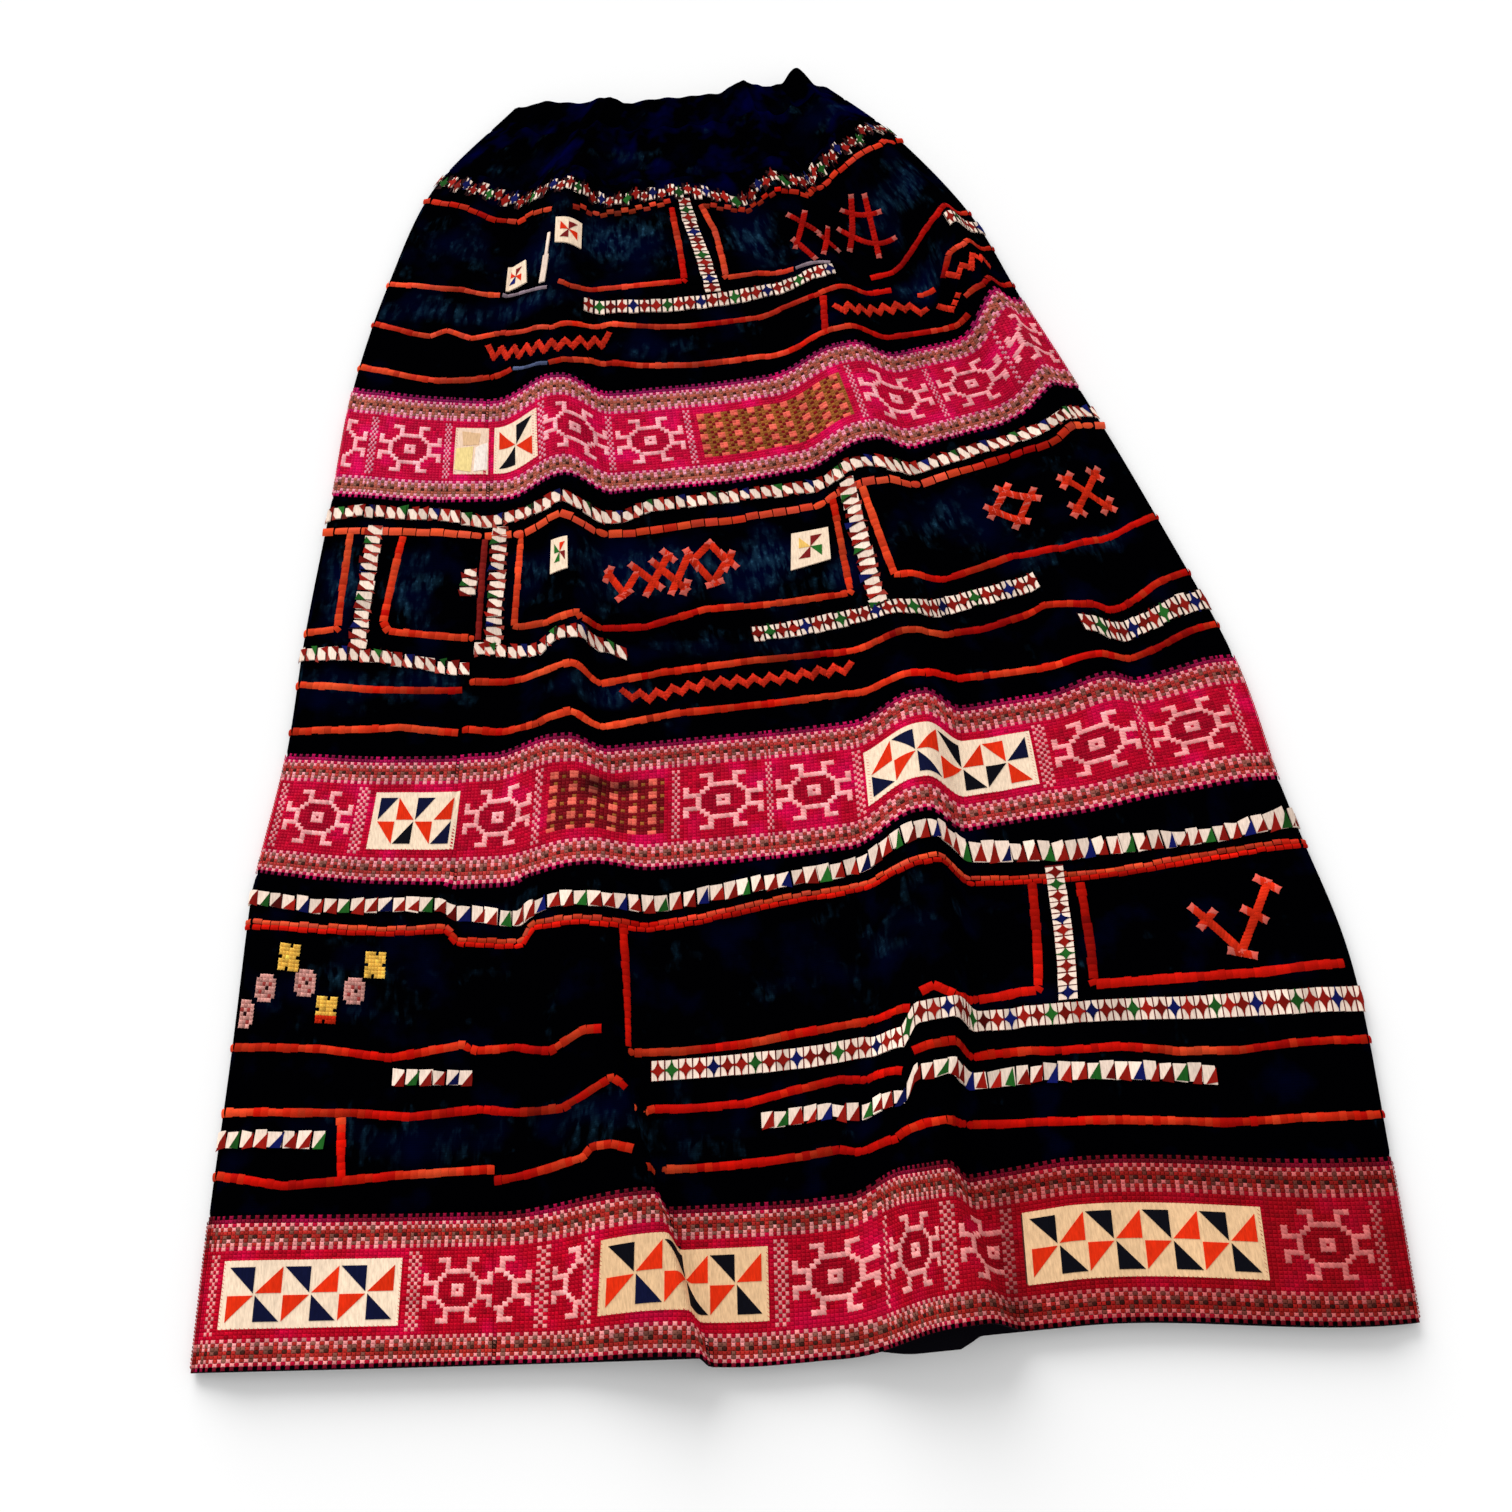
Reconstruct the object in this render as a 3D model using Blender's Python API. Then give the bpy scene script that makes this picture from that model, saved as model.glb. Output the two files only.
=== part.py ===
"""Hmong skirt, laid flat with its front up: a tube of strips sewn edge to edge.

The skirt lies along Y with its waist at +Y. Every point of the cloth has a drop, its distance from
the waist edge down the cloth, and a place, its share of the way across the front from left to right.
Stations are numbered places that follow the two main folds, so the mesh is fine where the cloth
bends. Sizes are in millimetres and become metres when a mesh is made.
"""
import math
from collections import namedtuple

import bpy

MM = 0.001

# The middle of the skirt's box, in the tables' own coordinates. It becomes the origin.
ORIGIN_X, ORIGIN_Y = -0.9, 88.3

# Lengths down the cloth: the plain top, its casing, and one tier of a dark panel and its band.
TOP = 75.5
CASING = 28.0
PANEL = 197.5
BAND = 87.5
TIER = PANEL + BAND
TIERS = 3

CLOTH_WALL = 1.5
CASING_WALL = 3.0
SEAM_GAP = 0.3
SIDE_RADIUS = 3.2
CASING_SIDE_RADIUS = 4.6

STRIP_WIDTH = 12.0
STRIP_THICKNESS = 0.8
STRIP_CLEARANCE = 0.3
PATCH_CLEARANCE = 0.5

LEFT_STATIONS = 11
MIDDLE_STATIONS = 16
RIGHT_STATIONS = 14
EVEN_SPACING = 0.5
STATION_CLOSENESS = 1e-4
SIDE_STEPS = 4
BACK_STEPS = 12
PATCH_STEPS = 4
SHARP_DEGREES = 40
CASING_ROWS = (0.0, 9.0, 19.0, CASING)
PLAIN_ROWS = (CASING, 43.0, 59.0, TOP)
BAND_ROWS = (0.0, 29.0, 58.0, BAND)
PANEL_MIDDLE = 68.0

# A line's rise towards its shoulder, and the run from a side over which folds reach full height.
RAMP_POWER = 1.5
EDGE_RUN = 22.0

# How the front lies at some drops: where a line of the weave meets the left side, its middle, its
# right shoulder and the right side, how fast it sags, where its last rise starts and ends, and how
# far the cloth puffs up.
Section = namedtuple("Section", "drop left_x left_y sag mid_y shoulder_y rise_from rise_to "
                                "right_x right_y puff")
SECTIONS = (
    Section(0.0, -131, 558, 3.0, 547, 550, 0.75, 1.00, 114, 555, 7.0),
    Section(92.0, -194, 489, 3.0, 459, 462, 0.81, 0.98, 156, 509, 4.0),
    Section(183.0, -231, 400, 3.0, 379, 371, 0.85, 0.96, 204, 426, 3.0),
    Section(273.0, -257, 311, 4.0, 287, 307, 0.90, 0.965, 231, 341, 3.0),
    Section(360.5, -272, 222, 4.0, 202, 232, 0.91, 0.985, 259, 258, 3.0),
    Section(468.0, -290, 118, 4.0, 102, 127, 0.87, 1.02, 292, 152, 3.0),
    Section(558.0, -302, 30, 4.0, 13, 26, 0.88, 1.00, 322, 38, 3.0),
    Section(645.5, -320, -50, 4.0, -75, -66, 0.75, 1.00, 332, -53, 3.0),
    Section(662.0, -323, -64, 4.0, -92, -92, 0.75, 1.00, 336, -82, 3.0),
    Section(753.0, -333, -162, 2.0, -191, -177, 0.70, 1.00, 349, -176, 3.5),
    Section(843.0, -344, -258, 1.3, -284, -276, 0.72, 1.00, 343, -294, 4.0),
    Section(930.5, -352, -342, 1.1, -367, -368, 0.72, 1.00, 336, -386, 4.5),
)

# A fold's path: its place, height, how far it lifts the weave towards the waist, its lean to the
# right, the reach of both slopes and half the width of its flat top.
Fold = namedtuple("Fold", "drop place height lift lean left right flat")
FOLD_A = (
    Fold(0.0, 0.30, 3.0, 2.0, 0.0, 18, 18, 0),
    Fold(92.0, 0.290, 11.0, 9.0, 0.0, 36, 24, 2),
    Fold(183.0, 0.285, 10.0, 3.0, 0.0, 36, 28, 2),
    Fold(273.0, 0.298, 14.0, 9.0, 0.0, 44, 34, 2),
    Fold(360.5, 0.303, 14.0, 9.0, 0.0, 44, 32, 0),
    Fold(468.0, 0.306, 14.0, 5.0, 3.0, 46, 20, 0),
    Fold(558.0, 0.282, 12.0, 6.0, 1.0, 40, 26, 4),
    Fold(645.5, 0.314, 11.0, 4.0, 0.0, 50, 40, 4),
    Fold(753.0, 0.326, 13.0, 7.0, 4.0, 60, 18, 0),
    Fold(843.0, 0.362, 15.0, 9.0, 6.0, 84, 16, 0),
    Fold(930.5, 0.400, 14.0, 3.0, 6.0, 76, 16, 0),
)
FOLD_B = (
    Fold(0.0, 0.74, 4.0, 2.0, 0.0, 18, 18, 0),
    Fold(92.0, 0.744, 10.0, 2.0, 0.0, 26, 26, 4),
    Fold(183.0, 0.735, 10.0, 3.0, 0.0, 40, 30, 2),
    Fold(273.0, 0.722, 13.0, 8.0, 0.0, 52, 34, 4),
    Fold(360.5, 0.703, 14.0, 5.0, 0.0, 40, 30, 4),
    Fold(468.0, 0.690, 12.0, 4.0, 0.0, 40, 30, 2),
    Fold(558.0, 0.660, 14.0, 10.0, 0.0, 44, 26, 2),
    Fold(645.5, 0.642, 17.0, 12.0, 0.0, 44, 26, 3),
    Fold(753.0, 0.614, 18.0, 8.0, 2.0, 26, 18, 13),
    Fold(843.0, 0.598, 18.0, 8.0, 2.0, 30, 18, 12),
    Fold(930.5, 0.625, 20.0, 4.0, 2.0, 60, 26, 12),
)
FOLD_C = (
    Fold(0.0, 0.93, 2.0, 0.0, 0.0, 14, 14, 0),
    Fold(92.0, 0.930, 9.0, 0.0, 0.0, 30, 30, 0),
    Fold(183.0, 0.940, 13.0, 0.0, 0.0, 30, 30, 2),
    Fold(273.0, 0.945, 14.0, 0.0, 0.0, 28, 30, 2),
    Fold(360.5, 0.945, 12.0, 0.0, 0.0, 30, 30, 2),
    Fold(468.0, 0.890, 9.0, 3.0, 0.0, 40, 36, 2),
    Fold(558.0, 0.858, 8.0, 4.0, 0.0, 40, 24, 0),
    Fold(645.5, 0.870, 3.0, 0.0, 0.0, 40, 30, 0),
    Fold(753.0, 0.870, 0.0, 0.0, 0.0, 40, 30, 0),
    Fold(930.5, 0.870, 0.0, 0.0, 0.0, 40, 30, 0),
)
TUCK = (
    Fold(0.0, 0.16, 0.0, 0.0, 0.0, 14, 14, 0),
    Fold(92.0, 0.16, -1.5, -8.0, 0.0, 26, 16, 4),
    Fold(183.0, 0.18, -1.0, -2.0, 0.0, 26, 20, 4),
    Fold(360.5, 0.20, 0.0, 0.0, 0.0, 20, 20, 4),
    Fold(630.0, 0.215, 0.0, 0.0, 0.0, 12, 12, 16),
    Fold(661.0, 0.220, 2.0, -7.0, 0.0, 12, 10, 18),
    Fold(753.0, 0.245, 1.0, -1.0, 0.0, 16, 12, 14),
    Fold(843.0, 0.270, 0.0, 0.0, 0.0, 20, 12, 10),
    Fold(930.5, 0.270, 0.0, 0.0, 0.0, 20, 12, 10),
)
FOLDS = (FOLD_A, FOLD_B, FOLD_C, TUCK)

# The waist's gathers: a crest's station, its height, and how far it stands above the top edge.
Gather = namedtuple("Gather", "station depth rise")
GATHERS = (
    Gather(2, 3.0, 0.5), Gather(4, 4.5, 2.0), Gather(6, 3.0, 0.0), Gather(9, 4.0, 1.5),
    Gather(11, 3.5, 1.0), Gather(14, 4.5, -4.0), Gather(16, 3.0, 1.0), Gather(18, 4.0, 2.0),
    Gather(20, 3.0, 0.0), Gather(22, 4.5, 5.0), Gather(24, 3.5, 1.5), Gather(27, 4.5, 1.0),
    Gather(30, 3.0, 2.0), Gather(33, 6.0, 11.0), Gather(36, 4.0, 3.0), Gather(39, 3.0, 0.0),
)
GATHER_REACH = 120.0
GATHER_RISE_REACH = 26.0

# The back's hem hangs lower between two places, so it shows below the raised front hem.
BACK_HEM_FROM, BACK_HEM_TO = 0.40, 0.655
BACK_HEM_DROP = 6.0
BACK_HEM_REACH = 80.0
BACK_HEM_START, BACK_HEM_END = 0.08, 0.02

# White strips along the weave: the distance below the panel's top edge, and both ends' places.
Strip = namedtuple("Strip", "name tier top left right")
STRIPS = (
    Strip("tooth_strip_1", 1, 10.0, 0.0, 1.0),
    Strip("low_strip_1_middle", 1, 121.5, 0.329, 0.750),
    Strip("low_strip_1_right", 1, 121.5, 0.942, 1.0),
    Strip("tooth_strip_2", 2, 10.0, 0.0, 1.0),
    Strip("low_strip_2_left", 2, 120.5, 0.0, 0.185),
    Strip("low_strip_2_beside", 2, 120.5, 0.191, 0.362),
    Strip("low_strip_2_middle", 2, 120.5, 0.505, 0.837),
    Strip("low_strip_2_right", 2, 159.0, 0.856, 1.0),
    Strip("tooth_strip_3", 3, 10.0, 0.0, 1.0),
    Strip("low_strip_3_left", 3, 114.0, 0.140, 0.2105),
    Strip("low_strip_3_right", 3, 114.0, 0.366, 1.0),
    Strip("lowest_strip_3_left", 3, 150.0, 0.0, 0.089),
    Strip("lowest_strip_3_right", 3, 150.0, 0.460, 0.862),
)

# Upright bars and square patches: both edges below the panel's top edge, width and places.
Patch = namedtuple("Patch", "name tier top bottom width top_place bottom_place")
PATCHES = (
    Patch("white_bar_1", 1, 22.5, 121.0, 12.0, 0.5330, 0.5445),
    Patch("square_patch_1_upper", 1, 52.0, 76.0, 22.0, 0.3005, 0.3005),
    Patch("square_patch_1_lower", 1, 83.0, 106.0, 17.0, 0.2075, 0.2110),
    Patch("white_bar_2_left", 2, 22.5, 120.0, 12.0, 0.0590, 0.0593),
    Patch("white_bar_2_beside", 2, 22.5, 120.0, 12.0, 0.2172, 0.2135),
    Patch("white_bar_2_right", 2, 22.5, 120.0, 12.0, 0.6620, 0.6530),
    Patch("square_patch_2_fold", 2, 49.5, 73.5, 12.0, 0.2928, 0.2905),
    Patch("square_patch_2_right", 2, 50.0, 79.0, 28.0, 0.6036, 0.5921),
    Patch("white_bar_3", 3, 22.5, 113.5, 12.0, 0.7598, 0.7403),
)


def between(low, high, share):
    return low + (high - low) * share


def ease(share):
    """0 below 0, 1 above 1, and a smooth step from one to the other."""
    share = min(max(share, 0.0), 1.0)
    return share * share * (3.0 - 2.0 * share)


def read_row(table, drop):
    """The table's row at any drop, on a smooth curve through its rows."""
    drop = min(max(drop, table[0].drop), table[-1].drop)
    k = max(i for i, row in enumerate(table[:-1]) if row.drop <= drop)
    before, start, end, after = (table[min(max(i, 0), len(table) - 1)] for i in range(k - 1, k + 3))
    span = end.drop - start.drop
    share = (drop - start.drop) / span
    values = []
    for b, s, e, a in zip(before, start, end, after):
        slope_in = (e - b) / (end.drop - before.drop) * span
        slope_out = (a - s) / (after.drop - start.drop) * span
        bend = slope_in + slope_out + 2.0 * (s - e)
        ramp = 3.0 * (e - s) - 2.0 * slope_in - slope_out
        values.append(((bend * share + ramp) * share + slope_in) * share + s)
    return type(start)(*values)


def swell(away, fold):
    """A fold's profile across the front: 1 on its flat top, falling smoothly to 0 on both sides."""
    reach = fold.left if away < 0 else fold.right
    beyond = max(abs(away) - fold.flat, 0.0) / reach
    return 0.5 + 0.5 * math.cos(math.pi * min(beyond, 1.0))


def spread(steps):
    """Shares from 0 to 1, closer together at both ends."""
    return [between((1 - math.cos(math.pi * i / steps)) / 2, i / steps, EVEN_SPACING)
            for i in range(steps + 1)]


LEFT, MIDDLE, RIGHT = spread(LEFT_STATIONS), spread(MIDDLE_STATIONS), spread(RIGHT_STATIONS)
LAST_STATION = LEFT_STATIONS + MIDDLE_STATIONS + RIGHT_STATIONS


def place_of(station, drop):
    """The share of the front's width at a station. The stations follow the two main folds."""
    fold_a, fold_b = read_row(FOLD_A, drop).place, read_row(FOLD_B, drop).place
    for steps, shares, low, high in ((LEFT_STATIONS, LEFT, 0.0, fold_a),
                                     (MIDDLE_STATIONS, MIDDLE, fold_a, fold_b),
                                     (RIGHT_STATIONS, RIGHT, fold_b, 1.0)):
        if station <= steps:
            k = min(int(station), steps - 1)
            return between(low, high, between(shares[k], shares[k + 1], station - k))
        station -= steps
    return 1.0


def station_of(place, drop):
    """The station whose place it is, found by halving."""
    low, high = 0.0, float(LAST_STATION)
    while high - low > STATION_CLOSENESS:
        middle = (low + high) / 2
        if place_of(middle, drop) < place:
            low = middle
        else:
            high = middle
    return (low + high) / 2


def resting_y(section, place):
    """How far up a line of the weave lies at a place, with no fold lifting it."""
    if place < 0.5:
        return between(section.mid_y, section.left_y, (1.0 - 2.0 * place) ** section.sag)
    if place < section.rise_from:
        ramp = (place - 0.5) / (section.rise_from - 0.5)
        return between(section.mid_y, section.shoulder_y, ramp ** RAMP_POWER)
    rise = (place - section.rise_from) / (section.rise_to - section.rise_from)
    return between(section.shoulder_y, section.right_y, ease(rise))


def gathering(station, drop):
    """The waist's gathers: how far they lift the cloth, and how far they push up the top edge."""
    lift = rise = 0.0
    for gather in GATHERS:
        near = max(0.0, 1.0 - abs(station - gather.station))
        near = near * near * (3.0 - 2.0 * near)
        lift += gather.depth * near * (1.0 - ease(drop / GATHER_REACH))
        rise += gather.rise * near * (1.0 - ease(drop / GATHER_RISE_REACH))
    return lift, rise


def side_radius(drop):
    return between(CASING_SIDE_RADIUS, SIDE_RADIUS, ease(drop / TOP))


def front_point(station, drop):
    """A point of the front's outer side."""
    section, place, radius = read_row(SECTIONS, drop), place_of(station, drop), side_radius(drop)
    width = section.right_x - section.left_x - 2.0 * radius
    x = section.left_x + radius + width * place
    y = resting_y(section, place)
    inside = ease(min(place, 1.0 - place) * width / EDGE_RUN)
    z = section.puff * inside
    for table in FOLDS:
        fold = read_row(table, drop)
        share = swell((place - fold.place) * width, fold)
        x += fold.lean * share
        y += fold.lift * share * inside
        z += fold.height * share * inside
    lift, rise = gathering(station, drop)
    return x, y + rise * inside, 2.0 * radius + z + lift * inside


def back_point(place, drop):
    """A point of the back's outer side, which lies on the floor."""
    section, radius = read_row(SECTIONS, drop), side_radius(drop)
    x = section.left_x + radius + (section.right_x - section.left_x - 2.0 * radius) * place
    hang = ease((place - BACK_HEM_FROM) / BACK_HEM_START)
    hang *= 1.0 - ease((place - BACK_HEM_TO) / BACK_HEM_END)
    hang *= ease((drop - SECTIONS[-1].drop + BACK_HEM_REACH) / BACK_HEM_REACH)
    return x, resting_y(section, place) - BACK_HEM_DROP * hang, 0.0


def around(drop):
    """The tube's outer side at one drop: over the front, round the right side, back underneath."""
    loop = [front_point(station, drop) for station in range(LAST_STATION + 1)]
    radius = side_radius(drop)
    back = [back_point(1.0 - i / BACK_STEPS, drop) for i in range(BACK_STEPS + 1)]
    turns = [math.pi * i / SIDE_STEPS for i in range(1, SIDE_STEPS)]
    right, left = loop[-1], loop[0]
    loop += [(right[0] + radius * math.sin(t), right[1], radius + radius * math.cos(t)) for t in turns]
    loop += back
    loop += [(left[0] - radius * math.sin(t), left[1], radius - radius * math.cos(t)) for t in turns]
    return loop


def outward(loop):
    """Unit normals of the loop in its own upright plane, pointing out of the tube."""
    normals = []
    for i, point in enumerate(loop):
        before, after = loop[i - 1], loop[(i + 1) % len(loop)]
        run, climb = after[0] - before[0], after[2] - before[2]
        size = math.hypot(run, climb)
        normals.append((-climb / size, 0.0, run / size))
    return normals


def moved(points, normals, distance):
    return [tuple(p + n * distance for p, n in zip(point, normal))
            for point, normal in zip(points, normals)]


def shell_faces(rows, columns, wraps):
    """Triangles of a wall given as an outer grid of points followed by an inner one."""
    inner = rows * columns
    faces = []

    def quad(a, b, c, d):
        faces.extend(((a, b, c), (a, c, d)))

    def corner(row, column, layer=0):
        return layer + row * columns + column % columns

    for i in range(columns if wraps else columns - 1):
        for r in range(rows - 1):
            quad(corner(r, i), corner(r + 1, i), corner(r + 1, i + 1), corner(r, i + 1))
            quad(corner(r, i, inner), corner(r, i + 1, inner),
                 corner(r + 1, i + 1, inner), corner(r + 1, i, inner))
        last = rows - 1
        quad(corner(0, i), corner(0, i + 1), corner(0, i + 1, inner), corner(0, i, inner))
        quad(corner(last, i + 1, inner), corner(last, i + 1), corner(last, i), corner(last, i, inner))
    if not wraps:
        for r in range(rows - 1):
            end = columns - 1
            quad(corner(r, 0), corner(r, 0, inner), corner(r + 1, 0, inner), corner(r + 1, 0))
            quad(corner(r + 1, end), corner(r + 1, end, inner), corner(r, end, inner), corner(r, end))
    return faces


def new_object(name, outer, inner, wraps, material):
    points = [point for grid in (outer, inner) for row in grid for point in row]
    points = [((x - ORIGIN_X) * MM, (y - ORIGIN_Y) * MM, z * MM) for x, y, z in points]
    mesh = bpy.data.meshes.new(name)
    mesh.from_pydata(points, [], shell_faces(len(outer), len(outer[0]), wraps))
    mesh.materials.append(material)
    mesh.shade_smooth()
    mesh.set_sharp_from_angle(angle=math.radians(SHARP_DEGREES))
    piece = bpy.data.objects.new(name, mesh)
    bpy.context.scene.collection.objects.link(piece)
    return piece


def new_material(name, colour, roughness):
    material = bpy.data.materials.new(name)
    material.use_nodes = True
    shader = material.node_tree.nodes["Principled BSDF"]
    shader.inputs["Base Color"].default_value = (*colour, 1.0)
    shader.inputs["Roughness"].default_value = roughness
    shader.inputs["Metallic"].default_value = 0.0
    return material


def sew_tube(name, drops, wall, material):
    """One strip of the tube, half a seam's gap short at both of its edges."""
    outer = [around(drop) for drop in drops]
    for row, gap in ((0, -SEAM_GAP / 2), (-1, SEAM_GAP / 2)):
        outer[row] = [(x, y + gap, z) for x, y, z in outer[row]]
    inner = [moved(loop, outward(loop), -wall) for loop in outer]
    new_object(name, outer, inner, True, material)


def at_column(points, column):
    """A point of a loop, or of its normals, at a column that may fall between two of them."""
    k = math.floor(column)
    first, second = points[k], points[(k + 1) % len(points)]
    return tuple(between(a, b, column - k) for a, b in zip(first, second))


def lay_on(name, rows, clearance, material):
    """A thin flat piece over the cloth. Each row has the panel's loop there, and the piece's columns."""
    under, over = [], []
    for loop, columns in rows:
        normals = outward(loop)
        points = [at_column(loop, column) for column in columns]
        normals = [at_column(normals, column) for column in columns]
        under.append(moved(points, normals, clearance))
        over.append(moved(points, normals, clearance + STRIP_THICKNESS))
    new_object(name, over, under, False, material)


def panel_top(tier):
    return TOP + TIER * (tier - 1)


def lay_strip(strip, material):
    """A strip along the weave. One that meets a side goes round to the widest point of that side."""
    top = panel_top(strip.tier) + strip.top
    drop = top + STRIP_WIDTH / 2
    start = -SIDE_STEPS // 2 if strip.left == 0.0 else station_of(strip.left, drop)
    end = LAST_STATION + SIDE_STEPS // 2 if strip.right == 1.0 else station_of(strip.right, drop)
    inside = range(math.floor(start) + 1, math.ceil(end))
    columns = [start, *inside, end]
    rows = [(around(top), columns), (around(top + STRIP_WIDTH), columns)]
    lay_on(strip.name, rows, STRIP_CLEARANCE, material)


def panel_rows(tier):
    """The panel's rows: its edges, one between them, and both edges of each strip that lies on it."""
    edges = {0.0, PANEL_MIDDLE, PANEL}
    for strip in STRIPS:
        if strip.tier == tier:
            edges |= {strip.top, strip.top + STRIP_WIDTH}
    return sorted(edges)


def panel_loop(tier, down):
    """The panel's faceted outer side at a distance below its top edge."""
    rows = panel_rows(tier)
    k = max(i for i, row in enumerate(rows[:-1]) if row <= down)
    share = (down - rows[k]) / (rows[k + 1] - rows[k])
    first, second = (around(panel_top(tier) + row) for row in rows[k:k + 2])
    return [tuple(between(a, b, share) for a, b in zip(p, q)) for p, q in zip(first, second)]


def lay_patch(patch, material):
    """An upright bar or a square patch, straight from its top edge to its bottom edge."""
    inside = [row for row in panel_rows(patch.tier) if patch.top < row < patch.bottom]
    rows = []
    for down in (patch.top, *inside, patch.bottom):
        drop = panel_top(patch.tier) + down
        share = (down - patch.top) / (patch.bottom - patch.top)
        section, place = read_row(SECTIONS, drop), between(patch.top_place, patch.bottom_place, share)
        half = patch.width / 2 / (section.right_x - section.left_x)
        start, end = station_of(place - half, drop), station_of(place + half, drop)
        columns = [between(start, end, i / PATCH_STEPS) for i in range(PATCH_STEPS + 1)]
        rows.append((panel_loop(patch.tier, down), columns))
    lay_on(patch.name, rows, PATCH_CLEARANCE, material)


def build_skirt():
    indigo = new_material("indigo_cloth", (0.012, 0.012, 0.03), 0.9)
    stitched = new_material("cross_stitch", (0.55, 0.03, 0.16), 0.85)
    white = new_material("white_cotton", (0.8, 0.74, 0.68), 0.8)
    sew_tube("waist_casing", CASING_ROWS, CASING_WALL, indigo)
    sew_tube("plain_top", PLAIN_ROWS, CLOTH_WALL, indigo)
    for tier in range(1, TIERS + 1):
        top = panel_top(tier)
        sew_tube(f"dark_panel_{tier}", [top + row for row in panel_rows(tier)], CLOTH_WALL, indigo)
        sew_tube(f"stitched_band_{tier}", [top + PANEL + row for row in BAND_ROWS], CLOTH_WALL, stitched)
    for strip in STRIPS:
        lay_strip(strip, white)
    for patch in PATCHES:
        lay_patch(patch, white)


for old in list(bpy.data.objects):
    bpy.data.objects.remove(old, do_unlink=True)
build_skirt()
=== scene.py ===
# %% [markdown]
# # A Hmong skirt, laid flat with its front up
#
# The skirt is a long tube of dark indigo cloth. Three tiers hang below a plain top, and each tier is
# a dark panel with orange lines and white patchwork strips, closed by a band of cross-stitch.
# This script dresses the packed solids: it keeps their form and gives them cloth, thread and stitches.

# %% Load the packed model
import math
from collections import namedtuple

import bpy
import numpy as np
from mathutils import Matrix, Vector


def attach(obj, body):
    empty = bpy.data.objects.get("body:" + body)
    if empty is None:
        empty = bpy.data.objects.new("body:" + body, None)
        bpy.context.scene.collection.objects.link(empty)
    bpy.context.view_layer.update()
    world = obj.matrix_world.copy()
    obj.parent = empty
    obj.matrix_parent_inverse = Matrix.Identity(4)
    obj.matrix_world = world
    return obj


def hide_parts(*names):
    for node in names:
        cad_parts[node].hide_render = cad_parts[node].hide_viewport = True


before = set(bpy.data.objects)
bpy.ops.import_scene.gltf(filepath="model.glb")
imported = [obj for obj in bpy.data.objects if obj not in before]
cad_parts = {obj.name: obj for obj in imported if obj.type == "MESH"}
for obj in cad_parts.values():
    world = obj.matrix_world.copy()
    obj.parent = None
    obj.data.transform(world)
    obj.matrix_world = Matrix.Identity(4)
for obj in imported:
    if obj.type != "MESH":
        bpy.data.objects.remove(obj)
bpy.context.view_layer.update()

MM = 0.001

# %% [markdown]
# ## The camera
#
# The photograph looks down at the skirt from beyond its hem, a little turned to the left. Lens, angle
# and distance were worked out from how the three equal tiers shrink towards the waist.

# %% Camera
LOOK_AT = Vector((0.0009, -0.0883, 0.0))
VIEW_TURN, VIEW_ELEVATION = math.radians(5.9), math.radians(66.5)
VIEW_DISTANCE = 1.0887
LENS = 40.0

ahead = Vector((math.sin(VIEW_TURN), math.cos(VIEW_TURN), 0.0)) * math.cos(VIEW_ELEVATION)
ahead.z = -math.sin(VIEW_ELEVATION)
camera_data = bpy.data.cameras.new("camera")
camera_data.lens = LENS
camera = bpy.data.objects.new("camera", camera_data)
camera.location = LOOK_AT - ahead * VIEW_DISTANCE
camera.rotation_euler = ahead.to_track_quat("-Z", "Y").to_euler()
bpy.context.scene.collection.objects.link(camera)
bpy.context.scene.camera = camera
print("camera at", [round(v, 3) for v in camera.location])

# %% [markdown]
# ## How the cloth lies
#
# Every point of the cloth has a drop, its distance down the cloth from the waist, and a place, its
# share of the way across the front. These tables say how the front lies at some drops and where its
# folds run, in millimetres. The solids are made from nearly the same tables: here a few values, such
# as the waist's raised lump, were set closer to the photograph. A simulated cloth would fall in folds
# of its own, so every form is placed one by one.

# %% Sizes of the cloth
def rows_of(kind, *rows):
    """Rows of plain numbers as rows of one kind, so that each number has a name."""
    return tuple(kind(*row) for row in rows)


ORIGIN = np.array([-0.9, 88.3, 0.0])
TOP, CASING = 75.5, 28.0
PANEL, BAND = 197.5, 87.5
TIER = PANEL + BAND
LENGTH = TOP + 3 * TIER
SIDE_RADIUS, CASING_SIDE_RADIUS = 3.2, 4.6
EDGE_RUN, RAMP_POWER = 22.0, 1.5

Section = namedtuple("Section", "drop left_x left_y sag mid_y shoulder_y rise_from rise_to "
                                "right_x right_y puff")
SECTIONS = rows_of(
    Section,
    (0, -131, 558, 3, 547, 550, 0.75, 1, 114, 555, 7),
    (92, -194, 489, 3, 459, 462, 0.81, 0.98, 156, 509, 4),
    (183, -231, 400, 3, 379, 371, 0.85, 0.96, 204, 426, 3),
    (273, -257, 311, 4, 287, 307, 0.9, 0.965, 231, 341, 3),
    (360.5, -272, 222, 4, 202, 232, 0.91, 0.985, 259, 258, 3),
    (468, -290, 118, 4, 102, 127, 0.87, 1.02, 292, 152, 3),
    (558, -302, 30, 4, 13, 26, 0.88, 1, 322, 38, 3),
    (645.5, -320, -50, 4, -75, -66, 0.75, 1, 332, -53, 3),
    (662, -323, -64, 4, -92, -92, 0.75, 1, 336, -82, 3),
    (753, -333, -162, 2, -191, -177, 0.7, 1, 349, -176, 3.5),
    (843, -344, -258, 1.3, -284, -276, 0.72, 1, 343, -294, 4),
    (930.5, -352, -342, 1.1, -367, -368, 0.72, 1, 336, -386, 4.5),
)
print("sections:", len(SECTIONS), "cloth length", LENGTH, "mm")

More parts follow.
